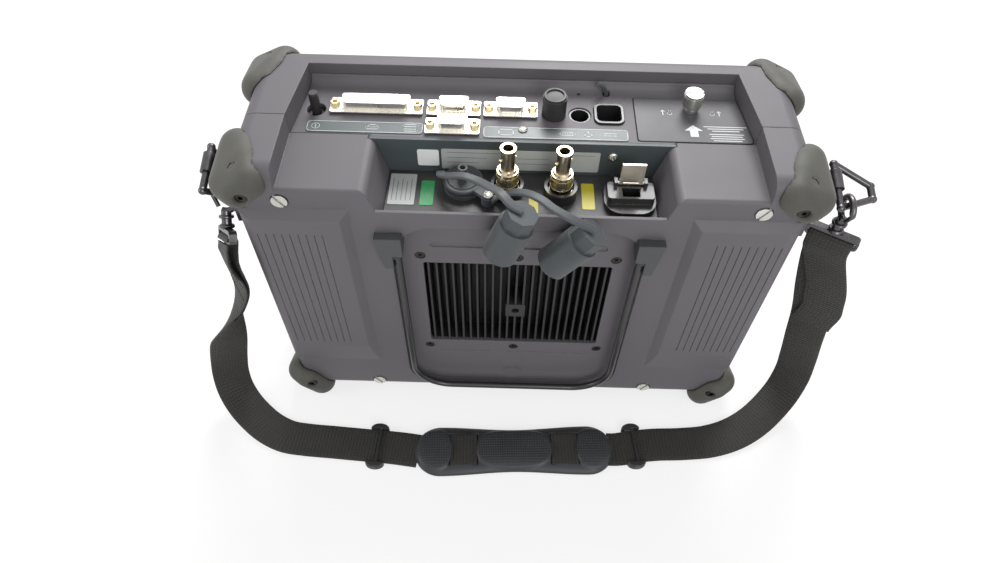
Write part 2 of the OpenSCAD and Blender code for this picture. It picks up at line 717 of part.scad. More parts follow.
module battery_pack() color([0.13, 0.14, 0.2]) difference() {
  floor_plate(door_x, door_y, pack_w, pack_d, 3, pack_top - pack_len, pack_top);
  z_rod(thumb_at.x, thumb_at.y, thumb_shaft_r + 0.6, pack_top - 8, pack_top + 1);
}

/* Controls and sockets of the connector recess. */
power_r = 2.75;
power_h = 12;

module power_button() color(black) translate([power_x, power_y, 0]) {
  translate([0, 0, shoulder_z - 3]) cylinder(power_h + 2.4, power_r, power_r);
  translate([0, 0, shoulder_z + power_h - 0.6]) cylinder(0.6, power_r - 0.4, power_r - 0.4);
  translate([0, 0, shoulder_z - 5]) cylinder(2, power_r + 3, power_r + 3);
}

module dsub(x, y, w, hood_w) {
  z = shoulder_z + dsub_standoff;
  pitch = (w - 5.9) / 2;
  difference() {
    union() {
      floor_plate(x, y, w, dsub_depth, 1.2, z, z + 1);
      translate([x, y, z + 0.5]) linear_extrude(dsub_hood) d_outline(hood_w, 8.6);
      translate([x, y, panel_z - 6]) linear_extrude(z - panel_z + 6.5) d_outline(hood_w - 1, 8);
    }
    for (s = [-1, 1]) z_rod(x + s * pitch, y, 1.5, z - 1, z + 2);
  }
}

module parallel_port() color(metal) dsub(parallel_x, upper_row_y, parallel_w, 39);

module serial_ports() color(metal) {
  dsub(serial_x, upper_row_y, serial_w, 17);
  dsub(serial_x, lower_row_y, serial_w, 17);
  dsub(video_x, upper_row_y, serial_w, 17);
}

module jack_pair(x, y, w) for (s = [-1, 1]) translate([x + s * (w - 5.9) / 2, y, shoulder_z])
  difference() {
    union() {
      cylinder(dsub_standoff, 2.2, 2.2);
      cylinder(dsub_standoff + 1.5, 1.4, 1.4);
      translate([0, 0, dsub_standoff + 1]) cylinder(2.4, 2.7, 2.7, $fn = 6);
    }
    translate([0, 0, dsub_standoff + 1.4]) cylinder(4, 1.2, 1.2);
  }

module jack_screws() color(brass) {
  jack_pair(parallel_x, upper_row_y, parallel_w);
  jack_pair(serial_x, upper_row_y, serial_w);
  jack_pair(serial_x, lower_row_y, serial_w);
  jack_pair(video_x, upper_row_y, serial_w);
}

module round_ports() color(black) for (x = [keyboard_x, mouse_x]) difference() {
  z_rod(x, round_row_y, din_r, panel_z - 12, shoulder_z - 0.6);
  z_rod(x, round_row_y, din_r - 1.2, panel_z - 7, shoulder_z);
}

module keyboard_cap() color(black) translate([keyboard_x, round_row_y, shoulder_z + gap]) difference() {
  union() {
    cylinder(12.5, din_r + 0.6, din_r + 0.6);
    translate([0, 0, 12.5]) cylinder(1.2, din_r, din_r);
    translate([0, 0, -6]) cylinder(6.5, din_r - 1.5, din_r - 1.5);
  }
  translate([0, 0, 12.9]) cylinder(3, din_r - 1.4, din_r - 1.4);
}

module power_inlet() color(black) difference() {
  floor_plate(inlet_x, inlet_y, inlet_w, inlet_w, 4, panel_z - 12, shoulder_z + 1.2);
  floor_plate(inlet_x, inlet_y, inlet_w - 3, inlet_w - 3, 3, panel_z - 8, shoulder_z + 3);
}

strip_t = 0.4;
module label_strips() color([0.33, 0.40, 0.40]) {
  floor_plate(-88.4, -1.8, 65.6, 9.4, 2, shoulder_z, shoulder_z + strip_t);
  difference() {
    floor_plate(18.6, -3.1, 81.6, 9.4, 2, shoulder_z, shoulder_z + strip_t);
    z_rod(top_screw.x, top_screw.y, 1.5, shoulder_z - 1, shoulder_z + 1);
  }
}

label_t = 0.3;
module blank_labels() color([0.75, 0.76, 0.76]) {
  span([-59, wall_y - label_t, bay_z + 4.5], [-46.8, wall_y, bay_z + 16.5]);
  span([-45.4, wall_y - label_t, bay_z + 2.5], [44.2, wall_y, bay_z + 17.5]);
  span([-74.5, -38, bay_z], [-59.5, -14, bay_z + label_t]);
  span([-56.5, -38, bay_z], [-49, -19, bay_z + label_t]);
  span([4.6, -42, bay_z], [9.8, -28, bay_z + label_t]);
  span([34.4, -38, bay_z], [41.6, -18, bay_z + label_t]);
}

/* Optical ports of the bay. */
stub_r = 5;

module spare_port() color(black) translate([spare_at.x, spare_at.y, bay_z]) {
  cylinder(2.4, 11, 11);
  translate([0, 0, -8]) cylinder(9, 7.8, 7.8);
  translate([0, 0, 2]) cylinder(4.4, 8.6, 8.6);
  translate([0, 0, 6]) difference() {
    cylinder(9, 2.8, 2.8);
    translate([0, 0, 2]) cylinder(9, 1.6, 1.6);
  }
}

module adapter_cups() color(black) for (p = adapter_at) translate([p.x, p.y, bay_z]) {
  difference() {
    cylinder(7, cup_r, cup_r);
    translate([0, 0, 1.5]) cylinder(8, cup_r - 2, cup_r - 2);
  }
  translate([0, 0, -8]) cylinder(9, 7.8, 7.8);
  cylinder(9, stub_r, stub_r);
}

// Knurled collar that screws over the port stub, with the plug barrel on top.
module adapter(p) translate([p.x, p.y, bay_z]) difference() {
  union() {
    translate([0, 0, 2]) cylinder(2.5, adapter_collar_r + 0.6, adapter_collar_r + 0.6);
    translate([0, 0, 4]) cylinder(13, adapter_collar_r, adapter_collar_r);
    translate([0, 0, 17]) cylinder(1.4, adapter_collar_r - 0.8, adapter_barrel_r + 0.6);
    translate([0, 0, 17]) cylinder(adapter_h - 17, adapter_barrel_r, adapter_barrel_r);
    translate([0, 0, adapter_h - 1.6]) cylinder(1.6, adapter_barrel_r + 0.5, adapter_barrel_r + 0.5);
  }
  translate([0, 0, -1]) cylinder(11, stub_r + pin_clearance, stub_r + pin_clearance);
  translate([0, 0, 12]) cylinder(adapter_h, adapter_barrel_r - 1.1, adapter_barrel_r - 1.1);
}

module adapter_left() color(brass) adapter(adapter_at[0]);
module adapter_right() color(brass) adapter(adapter_at[1]);

// Square socket on a round-cornered base; its opening faces up.
block_h = 8;
socket_w = 11.4;
hinge_y = shutter_at.y + 4.4;
hinge_z = bay_z + block_h + 1.4;
hinge_r = 0.9;

module shutter_port() color(black) difference() {
  union() {
    floor_plate(shutter_at.x, shutter_at.y, 29, 27, 10, bay_z, bay_z + 3.4);
    floor_plate(shutter_at.x, shutter_at.y, 26, 13, 2, bay_z + 3, bay_z + block_h);
    floor_plate(shutter_at.x, shutter_at.y, 19.6, 13.6, 2, bay_z - 8, bay_z + 3);
    for (s = [-1, 1]) translate([shutter_at.x + s * (socket_w / 2 + 2.6), hinge_y, 0])
      span([-1, -2.2, bay_z + 3], [1, 2.2, hinge_z + 1.8]);
  }
  span([shutter_at.x - 4.8, shutter_at.y - 5, bay_z], [shutter_at.x + 4.8, shutter_at.y + 1.6,
        bay_z + block_h + 1]);
  translate([shutter_at.x - socket_w, hinge_y, hinge_z]) rotate([0, 90, 0])
    cylinder(2 * socket_w, hinge_r + pin_clearance, hinge_r + pin_clearance);
}

// Flip-up cover of the square socket, drawn open.
module shutter() color([0.85, 0.83, 0.78]) translate([shutter_at.x, hinge_y, hinge_z]) {
  w = socket_w + 1.6;
  span([-w / 2, -0.9, 1.2], [w / 2, 0.1, 14.4]);
  mirrored_x() span([w / 2 - 0.8, -1.3, 1.2], [w / 2, 0.1, 14.4]);
  span([-w / 2, -1.3, 13.6], [w / 2, 0.1, 14.4]);
  mirrored_x() span([w / 2 - 2, -0.9, -0.4], [w / 2, 0.9, 2]);
  translate([-w / 2 - 1.7, 0, 0]) rotate([0, 90, 0]) cylinder(w + 3.4, hinge_r, hinge_r);
}

/* Rubber dust caps, taken off and hanging over the lip on their tethers. */
cap_y = rear_y - cap_r - 0.4;
cap_1 = [[0.5, cap_y, 216], [-11.5, cap_y, 182]];
cap_2 = [[38.5, cap_y, 202.5], [16.5, cap_y, 173]];
cap_neck = 9;

module dust_cap(a, b) {
  d = (b - a) / norm(b - a);
  translate(a) rotate([0, acos(d.z), atan2(d.y, d.x)]) difference() {
    union() {
      cylinder(cap_neck, cap_r - 1, cap_r - 1, $fn = 8);
      translate([0, 0, cap_neck]) cylinder(cap_len - cap_neck - 2, cap_r, cap_r);
      translate([0, 0, cap_len - 2]) cylinder(2, cap_r, cap_r - 2);
    }
    translate([0, 0, cap_neck + 4]) cylinder(cap_len, cap_r - 3.2, cap_r - 3.2);
  }
}

module dust_caps() color([0.21, 0.23, 0.25]) {
  dust_cap(cap_1[0], cap_1[1]);
  dust_cap(cap_2[0], cap_2[1]);
}

// Soft flat loop round the spare port, its screwed tab and an arm up over the lip to a cap.
loop_r = 11.2;
band_w = 5;
band_t = 1.5;
arm_1 = [
  [-45.2, -19, 200.8, 5], [-44.3, -25, 204.6, 30], [-39.5, -29.5, 208.6, 60],
  [-32.4, -31.4, 210.8, 65], [-24, -36, 212, 50], [-17, -44, 215.4, 38],
  [-10.5, -54.2, 221, 36], [-5.2, -60.2, 219.4, 44], [0.6, -62.3, 217.6, 58]
];
arm_2 = [
  [-15, -38.6, 200.4, 75], [-12, -39.8, 204.4, 75], [-7, -41, 208.4, 72], [0.5, -44, 212, 60],
  [9, -50.5, 214.8, 52], [17, -57, 213.8, 54], [25.5, -61, 211.5, 60], [32.4, -62.2, 208.4, 68],
  [38.3, -62.4, 204.4, 75]
];

module cap_tethers() color([0.16, 0.17, 0.19]) {
  difference() {
    union() {
      z_rod(spare_at.x, spare_at.y, loop_r, bay_z + 4, bay_z + 6.2);
      translate([spare_at.x, spare_at.y, bay_z + 4.2]) rotate([0, 0, -41]) translate([10, -2.6, 0])
        cube([8.4, 5.2, 1.8]);
      translate([tether_screw.x, tether_screw.y, bay_z]) cylinder(6.3, 3.6, 3.6);
    }
    z_rod(spare_at.x, spare_at.y, 8.6, bay_z + 3, bay_z + 9);
    z_rod(tether_screw.x, tether_screw.y, 1.6, bay_z - 1, bay_z + 9);
  }
  ribbon(arm_1, band_w, band_t);
  ribbon(arm_2, band_w, band_t);
}

/* Strap rings: a wire loop that turns in a bracket on each side of the case. */
ring_x = side_x + 15.5;
ring_y = -34;
ring_z = case_top - 16.5;
ring_tilt = 15;
ring_edge = 8;
barrel_r = ring_wire_r + 1.4;
barrel_start = -2.5;
barrel_end = ring_len / 2 - ring_wire_r - 2.5;
bracket_low_z = ring_z - 27;

function turn_x(v, a) = [v.x, v.y * cos(a) - v.z * sin(a), v.y * sin(a) + v.z * cos(a)];
function turn_y(v, a) = [v.x * cos(a) + v.z * sin(a), v.y, v.z * cos(a) - v.x * sin(a)];
// Place of a point of the ring, which is drawn level and pointing out from its hinge.
function on_right_ring(p) = [ring_x, ring_y, ring_z] + turn_x(turn_y(p, right_ring_angle), ring_tilt);
function on_left_ring(p) =
  [-ring_x, ring_y, ring_z] + turn_x(turn_y([-p.x, p.y, p.z], -left_ring_angle), ring_tilt);

module ring_brackets() color([0.3, 0.3, 0.3]) mirrored_x() difference() {
  union() {
    span([side_x, ring_y - 13, bracket_low_z], [side_x + 2.6, ring_y + 13, ring_z - 9]);
    translate([ring_x, ring_y, ring_z]) rotate([ring_tilt, 0, 0]) {
      y_rod(0, 0, barrel_r, barrel_start, barrel_end);
      translate([0, barrel_end, 0]) rotate([90, 0, 0]) linear_extrude(barrel_end - barrel_start)
        polygon([[side_x + 1 - ring_x, -19], [side_x + 2.6 - ring_x, -17], [0.7, -2.6], [-0.6, -0.4],
                 [-2.6, -0.7], [side_x + 1 - ring_x, -12]]);
    }
  }
  translate([ring_x, ring_y, ring_z]) rotate([ring_tilt, 0, 0])
    y_rod(0, 0, ring_wire_r + pin_clearance, -ring_len, ring_len);
  for (dy = [-9.5, 9.5]) translate([side_x - 1, ring_y + dy, ring_z - 22]) rotate([0, 90, 0])
    cylinder(5, 1.6, 1.6);
}

// The ring lies level, pointing out along +X from its hinge at the origin.
module ring_shape() {
  y_rod(0, 0, ring_wire_r, -ring_len / 2, ring_len / 2);
  y_rod(ring_reach, 0, ring_wire_r, -ring_edge / 2, ring_edge / 2);
  for (s = [-1, 1]) {
    rod([0, s * ring_len / 2, 0], [ring_reach, s * ring_edge / 2, 0], ring_wire_r - 0.1);
    for (p = [[0, s * ring_len / 2, 0], [ring_reach, s * ring_edge / 2, 0]])
      translate(p) rotate([0, 90, 0]) sphere(ring_wire_r + 0.3);
  }
}

module at_left_ring() translate([-ring_x, ring_y, ring_z]) rotate([ring_tilt, 0, 0])
  rotate([0, -left_ring_angle, 0]) mirror([1, 0, 0]) children();
module at_right_ring() translate([ring_x, ring_y, ring_z]) rotate([ring_tilt, 0, 0])
  rotate([0, right_ring_angle, 0]) children();

module strap_ring_left() color(metal) at_left_ring() ring_shape();
module strap_ring_right() color(metal) at_right_ring() ring_shape();

/* Snap hooks: a round hook with a sprung gate, a swivel post and an eye for the webbing. */
hook_r = 7;
hook_wire_r = 1.8;
gate_r = 1.25;
gate_low = -60;
gate_high = 10;
eye_w = webbing_w + 4.4;
eye_h = 8;
post_len = 10;
left_lean = -40;
left_eye_turn = 58;
right_eye_turn = 60;

// Hook in the local XZ plane: the loop's centre is the origin, the eye hangs below.
module hook_shape(eye_turn) {
  difference() {
    rotate([90, 0, 0]) rotate([0, 0, gate_high + 2]) rotate_extrude(angle = 276)
      translate([hook_r, 0]) circle(hook_wire_r);
    // The tip ends on a curve about the gate's pivot, just clear of the gate's nose.
    intersection() {
      translate(gate_a) y_rod(0, 0, norm(gate_b - gate_a) + nose_r + nose_gap, -4, 4);
      span([0.51 * hook_r, -3, 0.1 * hook_r], [2 * hook_r, 3, hook_r]);
    }
  }
  translate([0, 0, -hook_r - post_len - 0.8]) cylinder(post_len + 0.8, 2.8, 2.8);
  rotate([0, 0, eye_turn]) translate([0, 0, -hook_r - post_len - eye_h]) difference() {
    wall_plate(0, eye_h / 2, eye_w, eye_h, 2.4, -2.2, 2.2);
    span([-webbing_w / 2 - 0.6, -3, 2], [webbing_w / 2 + 0.6, 3, eye_h - 2.4]);
  }
}

nose_r = gate_r + 0.1;
nose_gap = 0.1;
gate_a = hook_r * [cos(gate_low), 0, sin(gate_low)];
gate_b = hook_r * [cos(gate_high), 0, sin(gate_high)];
module gate_shape() {
  rod(gate_a + 0.16 * (gate_b - gate_a), gate_b, gate_r);
  translate(gate_b) sphere(nose_r);
}

// The left hook hangs in the outer edge of its ring, the right one on the ring's rear wire.
edge_seat = ring_reach - ring_wire_r - hook_wire_r - 0.1;
wire_seat = 6;
left_loop = on_left_ring([edge_seat, 0, 0]) + turn_x([0, 0, -hook_r], left_lean);
right_loop = on_right_ring([wire_seat, -ring_len / 2
  + (ring_len - ring_edge) / 2 * wire_seat / ring_reach, 0])
  - [0, 0, hook_r - hook_wire_r - ring_wire_r - 0.1];

module at_left_hook() translate(left_loop) rotate([left_lean, 0, 0]) mirror([1, 0, 0]) children();
module at_right_hook() translate(right_loop) rotate([0, 0, -90]) children();

module hook_left() color(metal) at_left_hook() hook_shape(left_eye_turn);
module hook_right() color(metal) at_right_hook() hook_shape(right_eye_turn);
module gate_left() color(metal) at_left_hook() gate_shape();
module gate_right() color(metal) at_right_hook() gate_shape();

/* Webbing: two runs of doubled webbing from the hooks to the shoulder pad on the floor. */
// Each point is X, Y, Z and the turn of the webbing's width about Z, in degrees.
left_route = [
  [-166.3, -50.1, 170.9, -64.4], [-166.3, -52.7, 167.8, -64.4], [-167.1, -53.8, 161.5, -56],
  [-168.7, -51.8, 151, -50], [-169.8, -50.4, 135, -50], [-174.5, -50, 118, -66], [-182, -50, 102, -92],
  [-190.4, -50, 82, -125], [-196.6, -50, 62, -155], [-202.4, -50.6, 40, -162],
  [-204.4, -54, 25, -156], [-202.4, -60, 14, -146], [-196.4, -67.6, 7.4, -136],
  [-186.6, -76.6, 4.2, -126], [-174, -85.6, 3, -113], [-160.6, -91.4, 2.6, -103],
  [-146, -93.4, 2.4, -96], [-128, -94.6, 2.4, -93], [-108, -96, 2.4, -92],
  [-90, -97.2, 2.4, -91], [-80, -98.2, 2.8, -90], [-69, -99.8, 3.6, -89]
];
right_route = [
  [175.2, -44.1, 180.4, -30], [175.2, -44.1, 176.4, -30], [177, -42.9, 167.9, -32], [181.2, -41.6, 149, -34],
  [186.2, -41, 128, -35], [193.4, -40.4, 101, -35], [198.8, -40, 74, -34],
  [204, -40.4, 46, -32], [205.6, -43, 26, -36], [201.4, -49.4, 13, -44],
  [192, -59, 6.6, -54], [179, -70, 3.8, -63], [163, -79.6, 2.8, -72],
  [145, -85.8, 2.4, -80], [124, -88.6, 2.4, -87], [104, -89.8, 2.4, -88],
  [92, -91.4, 2.6, -86], [74.6, -94.9, 3.6, -87]
];

function route_at(route, i) = [route[i].x, route[i].y, route[i].z];
function route_step(route, i) = route_at(route, min(i + 1, len(route) - 1)) - route_at(route, max(i - 1, 0));
// Width direction of the webbing, square to its run.
function across(route, i) =
  let (t = route_step(route, i) / norm(route_step(route, i)),
       w = [cos(route[i][3]), sin(route[i][3]), 0],
       s = w - (w * t) * t)
  s / norm(s);
function ribbon_ring(route, i, w, h) =
  let (t = route_step(route, i), a = across(route, i), n = cross(t, a) / norm(cross(t, a)),
       p = route_at(route, i))
  [p - a * w / 2 - n * h / 2, p + a * w / 2 - n * h / 2, p + a * w / 2 + n * h / 2,
   p - a * w / 2 + n * h / 2];

module ribbon(route, w, h) {
  n = len(route);
  points = [for (i = [0:n - 1]) each ribbon_ring(route, i, w, h)];
  sides = [for (i = [0:n - 2], k = [0:3]) let (a = 4 * i + k, b = 4 * i + (k + 1) % 4)
    each [[a, b + 4, b], [a, a + 4, b + 4]]];
  polyhedron(points, concat([[0, 1, 2, 3]], [[4 * n - 1, 4 * n - 2, 4 * n - 3, 4 * n - 4]], sides));
}

module strap_left() color(black) ribbon(left_route, webbing_w, webbing_t);
module strap_right() color(black) ribbon(right_route, webbing_w, webbing_t);

slider_len = 12;
pad_x = 3;
pad_y = -97.7;
pad_turn = 2.3;

module slider(x, y, turn) translate([x, y, 0]) rotate([0, 0, turn]) difference() {
  floor_plate(0, 0, slider_len, webbing_w + 8, 3, 0, 6.2);
  span([-slider_len, -webbing_w / 2 - 1, 0.5], [slider_len, webbing_w / 2 + 1, 5]);
}

module strap_sliders() color(black) {
  slider(-95, -96.9, -3);
  slider(89, -91.4, 6);
}

// Shoulder pad: a rubber body with round ends and a waisted middle; the webbing runs in it.
module shoulder_pad() color([0.14, 0.15, 0.17]) translate([pad_x, pad_y, 0])
  rotate([0, 0, pad_turn]) difference() {
  union() {
    for (s = [-1, 1]) translate([s * (pad_len / 2 - pad_w / 2), 0, 0]) cylinder(pad_t, pad_w / 2, pad_w / 2);
    span([-pad_len / 2 + pad_w / 2, -pad_w / 2 + 1.5, 0], [pad_len / 2 - pad_w / 2, pad_w / 2 - 1.5, pad_t]);
  }
  for (s = [-1, 1]) translate([s * (pad_len / 2 - 1.6), 0, 0])
    span([-4, -webbing_w / 2 - 0.6, 1.6], [4, webbing_w / 2 + 0.6, 5.8]);
}

/* Display side. */
module display_window() color([0.2, 0.25, 0.28])
  wall_plate(display_x, display_z, display_w - 0.5, display_h - 0.5, 5.8, front_y - 2.6, front_y - 0.8);

module display_module() color([0.3, 0.3, 0.3])
  span([display_x - display_w / 2 - 3, front_y - 12, display_z - display_h / 2 - 3],
       [display_x + display_w / 2 + 3, front_y - case_wall, display_z + display_h / 2 + 3]);

board_y = front_y - 9.5;
module keypad_board() color([0.1, 0.35, 0.2]) difference() {
  span([-side_x + 10, board_y, 40], [key_x + key_w / 2 + 3, board_y + 1.6, 200]);
  y_rod(knob_x, knob_z, knob_shaft_r + pin_clearance, board_y - 1, board_y + 3);
}

module key(x, z) color(black) {
  wall_plate(x, z, key_w, key_h, 1.8, front_y - 4, front_y + 2.4);
  wall_plate(x, z, key_w + 2.4, key_h + 2.4, 1.8, front_y - case_wall - 1.4, front_y - case_wall - 0.2);
}

module soft_key_1() key(key_x, key_top_z);
module soft_key_2() key(key_x, key_top_z - key_pitch);
module soft_key_3() key(key_x, key_top_z - 2 * key_pitch);
module soft_key_4() key(key_x, key_top_z - 3 * key_pitch);
module start_key() key(knob_x, start_z);

module knob() color([0.16, 0.16, 0.17]) {
  y_rod(knob_x, knob_z, knob_r, front_y + 0.6, front_y + 9);
  y_rod(knob_x, knob_z, knob_r - 2, front_y + 9, front_y + 10);
  y_rod(knob_x, knob_z, knob_shaft_r, board_y - 0.4, front_y + 1);
}

/* Inside: the chassis plate carries the boards, the display and the battery shelf. */
chassis_y = front_y - 21;
module chassis_frame() color([0.6, 0.61, 0.6]) {
  span([-side_x + case_wall, chassis_y, 20], [side_x - case_wall, chassis_y + 2, 204]);
  for (x = [-1, 1], z = [-1, 1])
    y_rod(display_x + x * (display_w / 2 - 8), display_z + z * (display_h / 2 - 8), 3, chassis_y + 1,
          front_y - 12);
  for (x = [-side_x + 16, key_x - 4], z = [46, 194])
    y_rod(x, z, 3, chassis_y + 1, board_y);
  for (x = [-132, 44], z = [32, 188]) y_rod(x, z, 3, main_y + 1.6, chassis_y + 1);
  span([door_x - pack_w / 2 - 2, door_y - pack_d / 2, pack_top - pack_len - 2.4],
       [door_x + pack_w / 2 + 2, chassis_y + 1, pack_top - pack_len - 0.4]);
}

main_y = chassis_y - 11;
module main_board() color([0.1, 0.35, 0.2]) {
  span([-140, main_y, 24], [52, main_y + 1.6, 196]);
  span([-100, main_y - 4, 60], [-60, main_y + 0.5, 100]);
  span([-40, main_y - 3, 130], [-10, main_y + 0.5, 160]);
}

module optical_module() color([0.5, 0.5, 0.5])
  span([-44, sink_base_y + sink_base_t, 70], [44, main_y - 8, 176]);

front_shell();
rear_shell();
shell_seal();
display_window();
display_module();
keypad_board();
top_rear_bumpers();
top_front_bumpers();
bottom_rear_bumpers();
bottom_front_bumpers();
bumper_screws();
case_screws();
top_panel();
wall_panel();
port_panel();
panel_screws();
heat_sink();
heat_sink_screws();
bail_brackets();
tilt_bail();
battery_door();
battery_screw();
battery_pack();
power_button();
parallel_port();
serial_ports();
jack_screws();
round_ports();
keyboard_cap();
power_inlet();
label_strips();
blank_labels();
spare_port();
adapter_left();
adapter_right();
adapter_cups();
shutter_port();
shutter();
dust_caps();
cap_tethers();
ring_brackets();
strap_ring_left();
strap_ring_right();
hook_left();
hook_right();
gate_left();
gate_right();
strap_left();
strap_right();
strap_sliders();
shoulder_pad();
knob();
soft_key_1();
soft_key_2();
soft_key_3();
soft_key_4();
start_key();
main_board();
chassis_frame();
optical_module();
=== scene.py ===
"""Looks for the portable test set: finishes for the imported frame, and the soft and fine parts round it."""

import json
import math

import bmesh
import bpy
import numpy as np
from mathutils import Matrix, Vector


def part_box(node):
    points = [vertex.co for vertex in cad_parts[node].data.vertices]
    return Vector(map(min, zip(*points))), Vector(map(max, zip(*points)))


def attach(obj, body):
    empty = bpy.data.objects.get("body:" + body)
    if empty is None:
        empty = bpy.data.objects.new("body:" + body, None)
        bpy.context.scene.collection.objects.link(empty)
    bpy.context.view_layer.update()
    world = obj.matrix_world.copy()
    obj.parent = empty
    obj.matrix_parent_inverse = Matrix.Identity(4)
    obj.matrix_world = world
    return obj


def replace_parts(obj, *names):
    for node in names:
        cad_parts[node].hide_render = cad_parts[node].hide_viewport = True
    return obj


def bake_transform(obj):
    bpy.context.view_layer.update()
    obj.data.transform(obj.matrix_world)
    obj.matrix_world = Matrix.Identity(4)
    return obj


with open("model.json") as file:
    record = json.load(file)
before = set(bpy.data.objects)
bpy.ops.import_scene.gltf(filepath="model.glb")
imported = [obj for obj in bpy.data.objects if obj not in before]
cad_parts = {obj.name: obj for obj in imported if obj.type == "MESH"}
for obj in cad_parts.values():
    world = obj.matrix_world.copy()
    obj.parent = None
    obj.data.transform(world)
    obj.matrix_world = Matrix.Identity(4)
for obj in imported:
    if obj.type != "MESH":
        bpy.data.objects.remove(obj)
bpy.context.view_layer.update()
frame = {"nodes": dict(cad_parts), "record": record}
scene = bpy.context.scene
MM = 0.001


# ---------------------------------------------------------------- camera

CAMERA_SPOT = (-9.8, -313.7, 492.0)
CAMERA_PAN, CAMERA_TILT, CAMERA_ROLL = 0.002, -0.9267, 0.026


def make_camera():
    data = bpy.data.cameras.new("bench_camera")
    data.sensor_width = 36
    data.lens = 26.154
    data.clip_start = 0.01
    camera = bpy.data.objects.new("bench_camera", data)
    scene.collection.objects.link(camera)
    level = Matrix(((1, 0, 0), (0, 0, -1), (0, 1, 0)))
    turn = Matrix.Rotation(CAMERA_PAN, 3, "Z") @ Matrix.Rotation(CAMERA_TILT, 3, "X") @ level
    turn = turn @ Matrix.Rotation(CAMERA_ROLL, 3, "Z")
    camera.matrix_world = Matrix.Translation(Vector(CAMERA_SPOT) * MM) @ turn.to_4x4()
    scene.camera = camera


make_camera()


# ---------------------------------------------------------------- finishes

def new_finish(name):
    finish = bpy.data.materials.new(name)
    finish.use_nodes = True
    tree = finish.node_tree
    tree.nodes.clear()
    out = tree.nodes.new("ShaderNodeOutputMaterial")
    shader = tree.nodes.new("ShaderNodeBsdfPrincipled")
    tree.links.new(shader.outputs["BSDF"], out.inputs["Surface"])
    return finish, tree, shader


def add(tree, kind, inputs=None, **settings):
    node = tree.nodes.new(kind)
    for key, value in settings.items():
        setattr(node, key, value)
    for key, value in (inputs or {}).items():
        if isinstance(value, bpy.types.NodeSocket):
            tree.links.new(value, node.inputs[key])
        else:
            node.inputs[key].default_value = value
    return node


def shade(colour, by):
    return (min(colour[0] * by, 1), min(colour[1] * by, 1), min(colour[2] * by, 1), 1)


def noise(tree, spot, scale, detail=3.0, rough=0.55):
    node = add(tree, "ShaderNodeTexNoise",
               {"Vector": spot, "Scale": scale, "Detail": detail, "Roughness": rough})
    return node.outputs["Fac"]


def spread(tree, value, low, high, to_low, to_high):
    node = add(tree, "ShaderNodeMapRange", {"Value": value, "From Min": low, "From Max": high,
                                            "To Min": to_low, "To Max": to_high})
    return node.outputs["Result"]


def mixed(tree, fac, a, b):
    """Blends two colours; 6 and 7 are the Mix node's colour inputs, 2 its colour output."""
    return add(tree, "ShaderNodeMix", {0: fac, 6: a, 7: b}, data_type="RGBA").outputs[2]


def maths(tree, operation, a, b=0.0, c=0.0):
    node = add(tree, "ShaderNodeMath", {0: a, 1: b, 2: c}, operation=operation)
    return node.outputs[0]


def surface(name, colour, rough, metal=0.0, grain=(1400, 0.2), mottle=(18, 0.06), specular=0.5,
            edge=None, wear=0.0, coat=0.0, sheen=0.0, dust=0.0, streak=None):
    """A moulded, painted or metal finish: colour drift, roughness drift, fine grain and softened edges."""
    finish, tree, shader = new_finish(name)
    spot = add(tree, "ShaderNodeTexCoord").outputs["Object"]
    broad = noise(tree, spot, mottle[0], 4.0)
    tone = mixed(tree, spread(tree, broad, 0.32, 0.68, 0, 1), shade(colour, 1 - mottle[1]),
                 shade(colour, 1 + mottle[1]))
    fine = noise(tree, spot, grain[0], 2.0)
    if streak:
        long = add(tree, "ShaderNodeMapping", {"Vector": spot, "Scale": streak}).outputs["Vector"]
        lines = noise(tree, long, 900, 2.0)
        fine = maths(tree, "ADD", maths(tree, "MULTIPLY", fine, 0.4), maths(tree, "MULTIPLY", lines, 0.6))
    tone = mixed(tree, spread(tree, fine, 0.3, 0.7, 0.0, 0.35), tone, shade(colour, 1.0 - 1.6 * mottle[1]))
    if dust:
        specks = spread(tree, noise(tree, spot, 420, 5.0, 0.7), 0.66, 0.76, 0, dust)
        tone = mixed(tree, specks, tone, (0.42, 0.41, 0.39, 1))
    bump = add(tree, "ShaderNodeBump", {"Height": fine, "Strength": grain[1], "Distance": 0.00012})
    if edge:
        soft = add(tree, "ShaderNodeBevel", {"Radius": edge}, samples=6)
        tree.links.new(soft.outputs["Normal"], bump.inputs["Normal"])
        if wear:
            true = add(tree, "ShaderNodeNewGeometry").outputs["True Normal"]
            same = add(tree, "ShaderNodeVectorMath", {0: soft.outputs["Normal"], 1: true},
                       operation="DOT_PRODUCT").outputs["Value"]
            rub = maths(tree, "MULTIPLY", spread(tree, same, 0.99, 0.86, 0, wear),
                        spread(tree, noise(tree, spot, 260, 4.0), 0.35, 0.6, 0.2, 1))
            tone = mixed(tree, rub, tone, shade(colour, 1.9))
    tree.links.new(tone, shader.inputs["Base Color"])
    tree.links.new(bump.outputs["Normal"], shader.inputs["Normal"])
    tree.links.new(spread(tree, broad, 0.3, 0.7, max(rough - 0.07, 0.03), min(rough + 0.07, 1)),
                   shader.inputs["Roughness"])
    shader.inputs["Metallic"].default_value = metal
    shader.inputs["Specular IOR Level"].default_value = specular
    shader.inputs["Coat Weight"].default_value = coat
    shader.inputs["Sheen Weight"].default_value = sheen
    return finish


WEAVE_PITCH = 0.0024
WEAVE_RIB = 0.0021
ROW_STEP = 0.12


